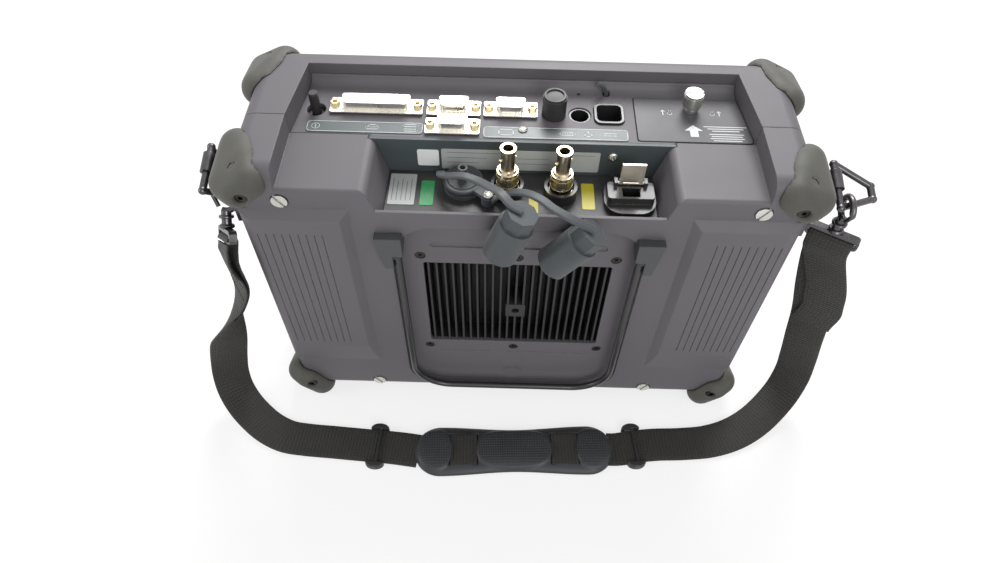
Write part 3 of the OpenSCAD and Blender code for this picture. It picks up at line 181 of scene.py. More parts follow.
def webbing_finish(name, colour):
    """Woven nylon: ribs along the run, crossed by picks that step a little from rib to rib; its colour
    carries painted shade in the weave's hollows and a painted highlight on its crowns.

    It reads the band's own map, which is in metres."""
    finish, tree, shader = new_finish(name)
    own = add(tree, "ShaderNodeUVMap", uv_map="weave").outputs["UV"]
    spot = add(tree, "ShaderNodeTexCoord").outputs["Object"]
    parts = add(tree, "ShaderNodeSeparateXYZ", {0: own})
    wide = maths(tree, "DIVIDE", parts.outputs["X"], WEAVE_RIB)
    row = maths(tree, "FLOOR", wide)
    shift = maths(tree, "MULTIPLY", maths(tree, "MODULO", row, 2.0), ROW_STEP)
    along = maths(tree, "ADD", maths(tree, "DIVIDE", parts.outputs["Y"], WEAVE_PITCH), shift)
    hump_a = maths(tree, "SINE", maths(tree, "MULTIPLY", maths(tree, "FRACT", wide), math.pi))
    hump_b = maths(tree, "SINE", maths(tree, "MULTIPLY", maths(tree, "FRACT", along), math.pi))
    weave = maths(tree, "MULTIPLY", maths(tree, "MULTIPLY_ADD", maths(tree, "ABSOLUTE", hump_a), 0.45, 0.55),
                  maths(tree, "POWER", maths(tree, "ABSOLUTE", hump_b), 0.8))
    fibre = noise(tree, spot, 2600, 2.0)
    height = maths(tree, "ADD", weave, maths(tree, "MULTIPLY", fibre, 0.25))
    # Painted shade and painted highlight: the colour follows the weave's height, dark in its hollows and
    # light on its raised crowns.
    tone = mixed(tree, weave, shade(colour, 0.3), shade(colour, 1.5))
    faded = spread(tree, noise(tree, spot, 60, 4.0), 0.4, 0.7, 0, 0.5)
    tone = mixed(tree, faded, tone, shade(colour, 1.6))
    bump = add(tree, "ShaderNodeBump", {"Height": height, "Strength": 0.9, "Distance": 0.0004})
    tree.links.new(tone, shader.inputs["Base Color"])
    tree.links.new(bump.outputs["Normal"], shader.inputs["Normal"])
    shader.inputs["Roughness"].default_value = 0.72
    shader.inputs["Sheen Weight"].default_value = 0.06
    shader.inputs["Sheen Roughness"].default_value = 0.5
    return finish


def glass_finish(name, colour):
    """Dark coated window over the display, with faint smears in its gloss."""
    finish, tree, shader = new_finish(name)
    spot = add(tree, "ShaderNodeTexCoord").outputs["Object"]
    smear = noise(tree, spot, 22, 6.0, 0.7)
    tree.links.new(mixed(tree, smear, shade(colour, 0.85), shade(colour, 1.2)), shader.inputs["Base Color"])
    tree.links.new(spread(tree, smear, 0.35, 0.7, 0.04, 0.16), shader.inputs["Roughness"])
    bump = add(tree, "ShaderNodeBump", {"Height": smear, "Strength": 0.03, "Distance": 0.0002})
    tree.links.new(bump.outputs["Normal"], shader.inputs["Normal"])
    shader.inputs["Coat Weight"].default_value = 0.6
    shader.inputs["Coat Roughness"].default_value = 0.03
    return finish


def board_finish(name, colour):
    """Solder-masked board: darker copper areas in square steps under a clear mask."""
    finish, tree, shader = new_finish(name)
    spot = add(tree, "ShaderNodeTexCoord").outputs["Object"]
    cells = add(tree, "ShaderNodeTexVoronoi", {"Vector": spot, "Scale": 160.0}, distance="CHEBYCHEV")
    copper = spread(tree, cells.outputs["Distance"], 0.2, 0.3, 0, 1)
    tone = mixed(tree, copper, shade(colour, 1.5), shade(colour, 0.8))
    tree.links.new(tone, shader.inputs["Base Color"])
    bump = add(tree, "ShaderNodeBump",
               {"Height": cells.outputs["Distance"], "Strength": 0.3, "Distance": 0.0001})
    tree.links.new(bump.outputs["Normal"], shader.inputs["Normal"])
    shader.inputs["Roughness"].default_value = 0.35
    return finish


SURFACES = {
    "case_paint": dict(colour=(0.098, 0.092, 0.102), rough=0.56, grain=(1700, 0.35), mottle=(9, 0.05),
        edge=0.0009, wear=0.35, dust=0.05),
    "seal_rubber": dict(colour=(0.012, 0.012, 0.012), rough=0.8),
    "bumper_rubber": dict(colour=(0.062, 0.061, 0.051), rough=0.66, grain=(900, 0.3), mottle=(70, 0.12),
        dust=0.1, sheen=0.08),
    "screw_steel": dict(colour=(0.62, 0.62, 0.58), rough=0.32, metal=1.0, grain=(700, 0.35),
        mottle=(160, 0.16), edge=0.0003),
    "dark_screw": dict(colour=(0.055, 0.05, 0.045), rough=0.38, metal=1.0, grain=(900, 0.3),
        mottle=(200, 0.2)),
    "panel_teal": dict(colour=(0.052, 0.066, 0.070), rough=0.5, grain=(1500, 0.25), mottle=(20, 0.06),
        edge=0.0004),
    "panel_dark": dict(colour=(0.028, 0.028, 0.030), rough=0.45, grain=(1500, 0.25), mottle=(30, 0.1),
        edge=0.0004, dust=0.06),
    "sink_black": dict(colour=(0.038, 0.037, 0.039), rough=0.46, metal=0.4, grain=(1300, 0.3),
        mottle=(40, 0.15), edge=0.0003, streak=(1, 1, 0.06)),
    "bracket_grey": dict(colour=(0.052, 0.054, 0.056), rough=0.5, grain=(1200, 0.3), mottle=(40, 0.1),
        edge=0.0008, wear=0.2),
    "bail_wire": dict(colour=(0.022, 0.022, 0.023), rough=0.36, metal=0.3, grain=(900, 0.2),
        mottle=(90, 0.2), coat=0.3),
    "door_paint": dict(colour=(0.060, 0.057, 0.063), rough=0.5, grain=(1700, 0.3), mottle=(14, 0.06),
        edge=0.0005, dust=0.06),
    "pack_plastic": dict(colour=(0.02, 0.024, 0.04), rough=0.45, grain=(1300, 0.3), mottle=(20, 0.1),
        edge=0.0008),
    "button_black": dict(colour=(0.020, 0.020, 0.021), rough=0.5, grain=(1200, 0.3), mottle=(120, 0.15),
        edge=0.0005, dust=0.15),
    "dsub_shell": dict(colour=(0.80, 0.78, 0.72), rough=0.3, metal=1.0, grain=(600, 0.12),
        mottle=(120, 0.08), edge=0.0005),
    "jack_brass": dict(colour=(0.70, 0.60, 0.36), rough=0.3, metal=1.0, grain=(800, 0.2),
        mottle=(200, 0.15), edge=0.0002),
    "socket_black": dict(colour=(0.017, 0.017, 0.018), rough=0.3, grain=(1200, 0.15), mottle=(60, 0.15),
        edge=0.0005, coat=0.15),
    "strip_teal": dict(colour=(0.070, 0.088, 0.090), rough=0.4, grain=(1500, 0.15), mottle=(30, 0.06)),
    "label_film": dict(colour=(0.40, 0.42, 0.41), rough=0.35, grain=(900, 0.1), mottle=(40, 0.06)),
    "cap_rubber": dict(colour=(0.036, 0.043, 0.048), rough=0.5, grain=(1100, 0.3), mottle=(55, 0.18),
        edge=0.0007, dust=0.16, sheen=0.2),
    "adapter_metal": dict(colour=(0.66, 0.58, 0.42), rough=0.24, metal=1.0, grain=(700, 0.15),
        mottle=(150, 0.12), edge=0.0003),
    "shutter_metal": dict(colour=(0.72, 0.66, 0.55), rough=0.4, metal=0.85, grain=(900, 0.2),
        mottle=(80, 0.05), edge=0.0003),
    "ring_black": dict(colour=(0.11, 0.105, 0.11), rough=0.28, metal=0.9, grain=(700, 0.25),
        mottle=(90, 0.25), edge=0.0005),
    "slider_plastic": dict(colour=(0.018, 0.019, 0.022), rough=0.42, grain=(1200, 0.25),
        mottle=(60, 0.15), edge=0.0004),
    "pad_rubber": dict(colour=(0.019, 0.021, 0.025), rough=0.5, grain=(1500, 0.4), mottle=(60, 0.15),
        dust=0.12, sheen=0.06),
    "display_grey": dict(colour=(0.2, 0.2, 0.2), rough=0.5, metal=0.3),
    "key_grey": dict(colour=(0.26, 0.27, 0.28), rough=0.5, grain=(1400, 0.25), edge=0.0005),
    "knob_black": dict(colour=(0.025, 0.025, 0.027), rough=0.45, grain=(1200, 0.3), edge=0.0006),
    "sheet_aluminium": dict(colour=(0.62, 0.63, 0.64), rough=0.36, metal=1.0, grain=(800, 0.2),
        streak=(0.05, 1, 1)),
    "mark_white": dict(colour=(0.62, 0.64, 0.64), rough=0.5, grain=(1500, 0.1), mottle=(300, 0.08)),
    "mark_grey": dict(colour=(0.16, 0.16, 0.165), rough=0.55, grain=(1500, 0.1), mottle=(300, 0.08)),
    "label_white": dict(colour=(0.80, 0.81, 0.80), rough=0.35, grain=(900, 0.08), mottle=(60, 0.03)),
    "label_green": dict(colour=(0.014, 0.31, 0.085), rough=0.4, grain=(900, 0.08), mottle=(90, 0.06)),
    "label_yellow": dict(colour=(0.50, 0.43, 0.015), rough=0.4, grain=(900, 0.08), mottle=(90, 0.06)),
    "pad_dot_rubber": dict(colour=(0.036, 0.039, 0.043), rough=0.6, grain=(1500, 0.4),
        mottle=(60, 0.15)),
    "stitch_thread": dict(colour=(0.045, 0.042, 0.040), rough=0.7, grain=(3000, 0.4)),
}
FINISHES = {name: surface(name, **sizes) for name, sizes in SURFACES.items()}
FINISHES["webbing"] = webbing_finish("webbing", (0.0150, 0.0140, 0.0120))
FINISHES["display_glass"] = glass_finish("display_glass", (0.03, 0.045, 0.05))
FINISHES["board_green"] = board_finish("board_green", (0.02, 0.10, 0.05))


def dress_frame():
    """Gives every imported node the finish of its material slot."""
    node_slot = {part["node"]: part["material_slot"] for part in frame["record"]["subparts"]}
    for name, obj in frame["nodes"].items():
        finish = FINISHES[node_slot[name]]
        if obj.material_slots:
            for place in obj.material_slots:
                place.material = finish
        else:
            obj.data.materials.append(finish)


dress_frame()


# ---------------------------------------------------------------- mesh helpers

def finished(name, mesh, finish, body, smooth=35):
    """A new piece with its place in its mesh, riding on a body."""
    mesh.materials.clear()
    mesh.materials.append(finish)
    obj = bpy.data.objects.new(name, mesh)
    scene.collection.objects.link(obj)
    if smooth:
        mesh.shade_smooth()
        mesh.set_sharp_from_angle(angle=math.radians(smooth))
    if body:
        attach(obj, body)
    return obj


def mesh_of(name, bm, merge=1e-6):
    bmesh.ops.remove_doubles(bm, verts=bm.verts, dist=merge)
    bmesh.ops.recalc_face_normals(bm, faces=bm.faces)
    mesh = bpy.data.meshes.new(name)
    bm.to_mesh(mesh)
    bm.free()
    return mesh


def skinned(name, bm, look, body="case", smooth=35, merge=1e-6):
    """The finished piece of a mesh in the making; its one material slot holds the finish named by look."""
    return finished(name, mesh_of(name, bm, merge), FINISHES[look], body, smooth)


def add_ring_stack(bm, rings):
    """Joins rings of points into a skin; both ends are capped."""
    made = [[bm.verts.new(p) for p in ring] for ring in rings]
    count = len(made[0])
    for low, high in zip(made, made[1:]):
        for i in range(count):
            j = (i + 1) % count
            bm.faces.new((low[i], low[j], high[j], high[i]))
    bm.faces.new(list(reversed(made[0])))
    bm.faces.new(made[-1])
    return made


def add_plate(bm, outline, low, high, bevel=0.0, place=None):
    """A flat plate with the given outline, between two heights along the place's Z axis."""
    place = place or Matrix.Identity(4)
    steps = [(low, 0.0), (high - bevel, 0.0), (high, -bevel)] if bevel else [(low, 0.0), (high, 0.0)]
    count = len(outline)
    middle = Vector((sum(p[0] for p in outline) / count, sum(p[1] for p in outline) / count))
    rings = []
    for z, inset in steps:
        ring = []
        for x, y in outline:
            away = Vector((x, y)) - middle
            reach = away.length
            pulled = middle + away * ((reach + inset) / reach if reach > 1e-9 else 1)
            ring.append(place @ Vector((pulled.x * MM, pulled.y * MM, z * MM)))
        rings.append(ring)
    add_ring_stack(bm, rings)


def rounded(x, y, w, d, r, turn=0.0, steps=5):
    """Outline of a round-cornered rectangle in millimetres."""
    points = []
    for cx, cy, start in ((1, 1, 0), (-1, 1, 90), (-1, -1, 180), (1, -1, 270)):
        for k in range(steps + 1):
            a = math.radians(start + 90 * k / steps)
            points.append((cx * (w / 2 - r) + r * math.cos(a), cy * (d / 2 - r) + r * math.sin(a)))
    c, s = math.cos(math.radians(turn)), math.sin(math.radians(turn))
    return [(x + px * c - py * s, y + px * s + py * c) for px, py in points]


def add_lathe(bm, profile, place):
    """Turns (radius, height) pairs in millimetres about the place's Z axis; both ends are capped flat."""
    turns = [2 * math.pi * i / 32 for i in range(32)]
    add_ring_stack(bm, [[place @ Vector((r * MM * math.cos(a), r * MM * math.sin(a), z * MM)) for a in turns]
                        for r, z in profile])


# An upright that no bar runs along, so that a bar's section always has a side.
ODD_UP = Vector((0.137, 0.31, 1))


def add_rod(bm, path, r, segments):
    """A round bar through points in millimetres."""
    rings = []
    up = ODD_UP.normalized()
    for i, p in enumerate(path):
        run = (path[min(i + 1, len(path) - 1)] - path[max(i - 1, 0)]).normalized()
        side = run.cross(up).normalized()
        over = side.cross(run)
        rings.append([(p + side * r * math.cos(a) + over * r * math.sin(a)) * MM
                      for a in (2 * math.pi * k / segments for k in range(segments))])
    add_ring_stack(bm, rings)


def at(x, y, z, turn=None):
    place = Matrix.Translation(Vector((x, y, z)) * MM)
    return place @ turn.to_4x4() if turn is not None else place


UPRIGHT = Matrix.Rotation(math.radians(90), 3, "X")


# ---------------------------------------------------------------- repeating parts, as node trees

SOCKET_KINDS = {float: "NodeSocketFloat", int: "NodeSocketInt", tuple: "NodeSocketVector"}


def tree_with(name, sizes):
    """A new tree with a named input for each size and one for its finish."""
    tree = bpy.data.node_groups.new(name, "GeometryNodeTree")
    tree.interface.new_socket("Geometry", in_out="OUTPUT", socket_type="NodeSocketGeometry")
    for label, value in sizes.items():
        socket = tree.interface.new_socket(label, in_out="INPUT", socket_type=SOCKET_KINDS[type(value)])
        socket.default_value = value
    tree.interface.new_socket("Finish", in_out="INPUT", socket_type="NodeSocketMaterial")
    return tree, tree.nodes.new("NodeGroupInput"), tree.nodes.new("NodeGroupOutput")


def close_tree(tree, start, end, points, instance, **turned):
    """Stands the instance on the points, realizes it and gives it its finish."""
    stand = add(tree, "GeometryNodeInstanceOnPoints", {"Points": points, "Instance": instance, **turned})
    real = add(tree, "GeometryNodeRealizeInstances", {"Geometry": stand.outputs[0]})
    last = add(tree, "GeometryNodeSetMaterial",
               {"Geometry": real.outputs[0], "Material": start.outputs["Finish"]})
    tree.links.new(last.outputs[0], end.inputs[0])
    return tree


def built(tree, sizes, name, place, look, body, smooth=0):
    """Runs a tree once and keeps the result as a plain mesh in its place."""
    values = {**sizes, "Finish": FINISHES[look]}
    host = bpy.data.objects.new(name + "_host", bpy.data.meshes.new(name + "_host"))
    scene.collection.objects.link(host)
    modifier = host.modifiers.new("tree", "NODES")
    modifier.node_group = tree
    for item in tree.interface.items_tree:
        if item.item_type == "SOCKET" and item.in_out == "INPUT" and item.name in values:
            modifier[item.identifier] = values[item.name]
    view = bpy.context.evaluated_depsgraph_get()
    view.update()
    mesh = bpy.data.meshes.new_from_object(host.evaluated_get(view))
    bpy.data.objects.remove(host)
    mesh.transform(place)
    mesh.name = name
    return finished(name, mesh, values["Finish"], body, smooth)


def ridge_ring_tree():
    """Ridges standing round a turned part: knurls, grips and serrations."""
    tree, start, end = tree_with("ridge_ring", {
        "Radius": 0.005, "Count": 36, "Ridge Width": 0.0004, "Ridge Depth": 0.0004, "Length": 0.003})
    size = start.outputs
    circle = add(tree, "GeometryNodeMeshCircle", {"Vertices": size["Count"], "Radius": size["Radius"]})
    block = add(tree, "ShaderNodeCombineXYZ",
                {"X": size["Ridge Depth"], "Y": size["Ridge Width"], "Z": size["Length"]})
    ridge = add(tree, "GeometryNodeMeshCube", {"Size": block.outputs[0]})
    index = add(tree, "GeometryNodeInputIndex")
    share = maths(tree, "DIVIDE", index.outputs[0], size["Count"])
    turn = add(tree, "ShaderNodeCombineXYZ", {"Z": maths(tree, "MULTIPLY", share, 2 * math.pi)})
    facing = add(tree, "FunctionNodeEulerToRotation", {0: turn.outputs[0]})
    return close_tree(tree, start, end, circle.outputs[0], ridge.outputs[0], Rotation=facing.outputs[0])


def dimple_field_tree():
    """Low round dots on a grid, kept inside a rounded outline."""
    tree, start, end = tree_with("dimple_field", {
        "Half Length": 0.02, "Half Width": 0.012, "Columns": 20, "Rows": 12, "Roundness": 3.0,
        "Dot Radius": 0.0005})
    size = start.outputs
    long = maths(tree, "MULTIPLY", size["Half Length"], 2.0)
    wide = maths(tree, "MULTIPLY", size["Half Width"], 2.0)
    grid = add(tree, "GeometryNodeMeshGrid", {
        "Size X": long, "Size Y": wide, "Vertices X": size["Columns"], "Vertices Y": size["Rows"]})
    spot = add(tree, "ShaderNodeSeparateXYZ", {0: add(tree, "GeometryNodeInputPosition").outputs[0]})
    reach = []
    for axis, half in (("X", "Half Length"), ("Y", "Half Width")):
        share = maths(tree, "ABSOLUTE", maths(tree, "DIVIDE", spot.outputs[axis], size[half]))
        reach.append(maths(tree, "POWER", share, size["Roundness"]))
    outside = maths(tree, "GREATER_THAN", maths(tree, "ADD", reach[0], reach[1]), 1.02)
    kept = add(tree, "GeometryNodeDeleteGeometry", {"Geometry": grid.outputs[0], "Selection": outside},
               domain="POINT")
    dot = add(tree, "GeometryNodeMeshIcoSphere", {"Radius": size["Dot Radius"], "Subdivisions": 2})
    return close_tree(tree, start, end, kept.outputs[0], dot.outputs[0], Scale=(1.0, 1.0, 0.55))


def pin_row_tree():
    """A straight row of round pins."""
    tree, start, end = tree_with("pin_row", {
        "Count": 12, "Pitch": (0.00277, 0.0, 0.0), "Pin Radius": 0.0005, "Pin Length": 0.002})
    size = start.outputs
    line = add(tree, "GeometryNodeMeshLine", {"Count": size["Count"], "Offset": size["Pitch"]})
    pin = add(tree, "GeometryNodeMeshCylinder",
              {"Vertices": 10, "Radius": size["Pin Radius"], "Depth": size["Pin Length"]})
    return close_tree(tree, start, end, line.outputs[0], pin.outputs["Mesh"])


RIDGE_RING = ridge_ring_tree()
DIMPLE_FIELD = dimple_field_tree()
PIN_ROW = pin_row_tree()


# ---------------------------------------------------------------- woven straps and rubber bands

class Band:
    """A flat band along a route of (x, y, z, turn of its width about the upright) in millimetres."""

    def __init__(self, route, step=3.0):
        points = np.array(route, float)
        steps = np.linalg.norm(np.diff(points[:, :3], axis=0), axis=1)
        chord = np.concatenate([[0], np.cumsum(steps)])
        slope = np.gradient(points, chord, axis=0)
        count = int(chord[-1] / step) + 2
        spots = np.linspace(0, chord[-1], count)
        out = []
        for s in spots:
            i = min(max(int(np.searchsorted(chord, s)) - 1, 0), len(chord) - 2)
            h = chord[i + 1] - chord[i]
            u = (s - chord[i]) / h
            out.append((2 * u ** 3 - 3 * u ** 2 + 1) * points[i]
                       + (u ** 3 - 2 * u ** 2 + u) * h * slope[i]
                       + (-2 * u ** 3 + 3 * u ** 2) * points[i + 1]
                       + (u ** 3 - u ** 2) * h * slope[i + 1])
        out = np.array(out)
        self.frames = []
        for i, p in enumerate(out):
            run = Vector(out[min(i + 1, count - 1)][:3] - out[max(i - 1, 0)][:3]).normalized()
            turn = math.radians(p[3])
            side = Vector((math.cos(turn), math.sin(turn), 0))
            side = (side - run * side.dot(run)).normalized()
            self.frames.append((Vector(p[:3]), side, run.cross(side).normalized()))
        self.along = [0.0]
        for a, b in zip(self.frames, self.frames[1:]):
            self.along.append(self.along[-1] + (b[0] - a[0]).length)
        self.length = self.along[-1]


def band_skin(bm, frames, width, thick, lift=None):
    """Skins a band: a thin section with rounded selvedges, with its own map in metres for the weave."""
    half, t = width / 2, thick / 2
    top = [(-half, 0.0), (-half + 0.25, t * 0.55), (-half + 0.9, t * 0.95)]
    top += [(-half + 0.9 + (width - 1.8) * k / 8, t) for k in range(1, 8)]
    top += [(half - 0.9, t * 0.95), (half - 0.25, t * 0.55), (half, 0.0)]
    section = top + [(a, -n) for a, n in reversed(top[1:-1])]
    rings = []
    for i, (p, side, out) in enumerate(frames):
        rise = lift(i) if lift else 0.0
        rings.append([(p + side * a + out * (n + rise)) * MM for a, n in section])
    made = add_ring_stack(bm, rings)
    weave_map = bm.loops.layers.uv.verify()
    place_on_map = {}
    run = 0.0
    for i, ring in enumerate(made):
        if i:
            run += (frames[i][0] - frames[i - 1][0]).length
        for (a, _), vert in zip(section, ring):
            place_on_map[vert] = ((a + half) * MM, run * MM)
    for face in bm.faces:
        for loop in face.loops:
            loop[weave_map].uv = place_on_map[loop.vert]


def band_piece(name, frames, width, thick, look, body=None, lift=None):
    bm = bmesh.new()
    band_skin(bm, frames, width, thick, lift)
    bmesh.ops.recalc_face_normals(bm, faces=bm.faces)
    mesh = bpy.data.meshes.new(name)
    bm.to_mesh(mesh)
    bm.free()
    mesh.uv_layers[0].name = "weave"
    return finished(name, mesh, FINISHES[look], body, smooth=50)


LEFT_ROUTE = [
    (-166.3, -50.1, 170.9, -64.4), (-166.3, -52.7, 167.8, -64.4), (-167.1, -53.8, 161.5, -56),
    (-168.7, -51.8, 151, -50), (-169.8, -50.4, 135, -50),
    (-174.5, -50, 118, -66), (-182, -50, 102, -92), (-190.4, -50, 82, -125), (-196.6, -50, 62, -155),
    (-202.4, -50.6, 40, -162), (-204.4, -54, 25, -156), (-202.4, -60, 14, -146), (-196.4, -67.6, 7.4, -136),
    (-186.6, -76.6, 4.2, -126), (-174, -85.6, 3, -113), (-160.6, -91.4, 2.6, -103), (-146, -93.4, 2.4, -96),
    (-128, -94.6, 2.4, -93), (-108, -96, 2.4, -92), (-90, -97.2, 2.4, -91), (-80, -98.2, 2.8, -90),
    (-69, -99.8, 3.6, -89), (-64.5, -100.4, 3.7, -87.7)]
RIGHT_ROUTE = [
    (175.2, -44.1, 180.4, -30), (175.2, -44.1, 176.4, -30), (177, -42.9, 167.9, -32),
    (181.2, -41.6, 149, -34), (186.2, -41, 128, -35),
    (193.4, -40.4, 101, -35), (198.8, -40, 74, -34), (204, -40.4, 46, -32), (205.6, -43, 26, -36),
    (201.4, -49.4, 13, -44), (192, -59, 6.6, -54), (179, -70, 3.8, -63), (163, -79.6, 2.8, -72),
    (145, -85.8, 2.4, -80), (124, -88.6, 2.4, -87), (104, -89.8, 2.4, -88), (92, -91.4, 2.6, -86),
    (74.6, -94.9, 3.6, -87), (69.9, -95, 3.7, -87.7)]
WEBBING_WIDTH = 25.0
PLY = 1.25
# The two plies stand this far from their middle line where they go round the hook's bar, close up
# over this length, and lie this far from it, in front and behind, once they have closed.
BAR_GAP = 2.75
CLOSE_OVER = 26.0
FRONT_GAP = 0.8
BACK_GAP = 1.6
# Past its fold, a strap comes back to its middle line over this length.
RUN_OUT = 25.0
STITCH_ROWS = (32.0, 46.0)
STITCH_SPAN = 19.0


def ease(x):
    x = min(max(x, 0.0), 1.0)
    return x * x * (3 - 2 * x)


def fold_frames(band, side_sign, length, slip):
    """The end of the webbing: up through the hook's eye, over its bar and back down behind the front ply."""
    p, side, out = band.frames[0]
    out = out * side_sign
    up = (p - band.frames[2][0]).normalized()
    frames = []
    for k in range(13):
        a = math.pi * k / 12
        spot = p + up * (1.7 + BAR_GAP * math.sin(a)) + out * (BAR_GAP * math.cos(a))
        frames.append((spot, side, (up * math.sin(a) + out * math.cos(a)) * side_sign))
    for along, (q, s, o) in zip(band.along, band.frames):
        if 2.0 <= along <= length:
            drop = (BAR_GAP - BACK_GAP) * ease(along / CLOSE_OVER) - BAR_GAP
            share = along / length
            slide = slip * ease(share / 0.55) * (1 - 0.8 * ease((share - 0.7) / 0.3))
            frames.append((q + o * side_sign * drop + s * slide, s, -o))
    return frames


def strap(side_name, route, out_sign, fold_length, fold_slip):
    """One side of the carrying strap: its front ply, the ply folded behind it, and two rows of stitches."""
    band = Band(route)

    def rise(i):
        if band.along[i] < fold_length:
            return out_sign * (BAR_GAP - (BAR_GAP - FRONT_GAP) * ease(band.along[i] / CLOSE_OVER))
        return out_sign * FRONT_GAP * (1 - ease((band.along[i] - fold_length) / RUN_OUT))

    front = band_piece("strap_webbing_" + side_name, band.frames, WEBBING_WIDTH, PLY, "webbing", lift=rise)
    fold = band_piece("strap_fold_" + side_name, fold_frames(band, out_sign, fold_length, fold_slip),
                      WEBBING_WIDTH, PLY, "webbing")
    bm = bmesh.new()
    for row_at in STITCH_ROWS:
        i = min(range(len(band.frames)), key=lambda n: abs(band.along[n] - row_at))
        p, s, o = band.frames[i]
        run = (band.frames[i + 1][0] - p).normalized()
        for k in range(12):
            foot = p + s * STITCH_SPAN * (k / 11 - 0.5) + o * (rise(i) + out_sign * PLY / 2)
            tilt = run * (0.9 if k % 2 else -0.9)
            thread = [foot - s * 0.9 - tilt, foot + o * out_sign * 0.18, foot + s * 0.9 + tilt]
            add_rod(bm, thread, 0.22, 6)
    stitches = skinned("strap_stitches_" + side_name, bm, "stitch_thread", None)
    for piece in (front, fold, stitches):
        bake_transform(piece)
    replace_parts(front, "strap_" + side_name)


strap("left", LEFT_ROUTE, 1, 70.0, -2.0)
strap("right", RIGHT_ROUTE, -1, 92.0, 7.0)


ARM_1 = [
    (-45.2, -19, 200.8, 5), (-44.3, -25, 204.6, 30), (-39.5, -29.5, 208.6, 60), (-32.4, -31.4, 210.8, 65),
    (-24, -36, 212, 50), (-17, -44, 215.4, 38), (-10.5, -54.2, 221, 36), (-5.2, -60.2, 219.4, 44),
    (0.6, -62.3, 217.6, 58)]
ARM_2 = [
    (-15, -38.6, 200.4, 75), (-12, -39.8, 204.4, 75), (-7, -41, 208.4, 72), (0.5, -44, 212, 60),
    (9, -50.5, 214.8, 52), (17, -57, 213.8, 54), (25.5, -61, 211.5, 60), (32.4, -62.2, 208.4, 68),
    (38.3, -62.4, 204.4, 75)]


BAY_FLOOR = 193.5
ARM_WIDTH = 5.6


def tethers():
    """The moulded loop round the spare port, its screwed tab, and the two flat arms that hold the caps."""
    bm = bmesh.new()
    place = at(-32.7, -22.6, BAY_FLOOR)
    profile = [(8.7, 4.3), (9.1, 4.0), (10.8, 4.0), (11.3, 4.5),
               (11.3, 5.8), (10.8, 6.3), (9.1, 6.3), (8.7, 6.0)]
    made = []
    for i in range(64):
        a = 2 * math.pi * i / 64
        made.append([bm.verts.new(place @ (Vector((r * math.cos(a), r * math.sin(a), z)) * MM))
                     for r, z in profile])
    for low, high in zip(made, made[1:] + made[:1]):
        for k in range(len(profile)):
            j = (k + 1) % len(profile)
            bm.faces.new((low[k], low[j], high[j], high[k]))
    add_plate(bm, rounded(-22.0, -31.9, 12.6, ARM_WIDTH, 2.4, turn=-41), 197.6, 199.6, 0.3)
    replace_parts(skinned("cap_tether_loop", bm, "cap_rubber"), "cap_tethers")
    bm = bmesh.new()
    add_lathe(bm, [(1.7, 0.2), (3.4, 0.2), (3.7, 0.6), (3.7, 5.8), (3.3, 6.2), (1.7, 6.2)],
              at(-18.3, -35.2, BAY_FLOOR))
    skinned("cap_tether_boss", bm, "cap_rubber")
    arms = (("cap_tether_arm_1", ARM_1, "fitting", [frame["nodes"]["dust_caps"]]),
            ("cap_tether_arm_2", ARM_2, "object", []))
    for name, route, far_end, on_it in arms:
        band = Band(route, step=1.2)
        arm = band_piece(name, band.frames, ARM_WIDTH, 1.7, "cap_rubber", body="case")
        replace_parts(arm, "cap_tethers")


tethers()


# ---------------------------------------------------------------- shoulder pad and sliders

PAD_PLACE = at(3, -97.7, 0, Matrix.Rotation(math.radians(2.3), 3, "Z"))
PAD_HALF = 71.0
# The pad is this wide, halved, at its middle and where its round ends start.
PAD_WAIST, PAD_BROAD = 15.9, 18.4
PAD_ROUND_FROM = 52.5
WINDOW_FROM, WINDOW_TO, WINDOW_HALF = 26.0, 46.0, 11.6
LOZENGES = ((-56.5, 12.6, 15.6), (0.0, 28.0, 15.0), (56.5, 12.6, 15.6))


def pad_half_width(x):
    far = abs(x)
    if far > PAD_ROUND_FROM:
        share = (far - PAD_ROUND_FROM) / (PAD_HALF - PAD_ROUND_FROM)
        return PAD_BROAD * math.sqrt(max(1 - share ** 2, 0.0))
    return PAD_WAIST + (PAD_BROAD - PAD_WAIST) * ease(far / PAD_ROUND_FROM)


def in_lozenge(x, y):
    """How deep a point lies in a raised lozenge, 0 outside to 1 inside."""
    return max(ease((1.0 - (abs(x - middle) / half_l) ** 2.6 - (abs(y) / half_w) ** 2.6) / 0.16)
               for middle, half_l, half_w in LOZENGES)


def in_window(x, y):
    """How deep a point lies in one of the two openings where the webbing shows."""
    if not WINDOW_FROM < abs(x) < WINDOW_TO or abs(y) > WINDOW_HALF:
        return 0.0
    return ease((WINDOW_HALF - abs(y)) / 0.9) * (1.0 - in_lozenge(x, y))


def pad_top(x, y):
    half = max(pad_half_width(x), 0.001)
    crown = (1 - min(abs(y) / half, 1) ** 3.2) ** 0.5
    end = (1 - max(0.0, (abs(x) - 60) / 11.0) ** 3) if abs(x) > 60 else 1.0
    return 2.6 + 4.9 * crown * max(end, 0.0) ** 0.5 + 0.9 * in_lozenge(x, y) - 2.6 * in_window(x, y)


# Rings along the pad, with closer ones over this many steps at each end, and points across it.
PAD_STEPS, PAD_END_STEPS = 188, 12
TOP_STEPS, SOLE_STEPS = 48, 24


def pad_station(i):
    if PAD_END_STEPS <= i <= PAD_STEPS - PAD_END_STEPS:
        edge = -PAD_HALF * math.cos(math.pi * PAD_END_STEPS / PAD_STEPS)
        return edge + (-2 * edge) * (i - PAD_END_STEPS) / (PAD_STEPS - 2 * PAD_END_STEPS)
    return -PAD_HALF * math.cos(math.pi * i / PAD_STEPS)


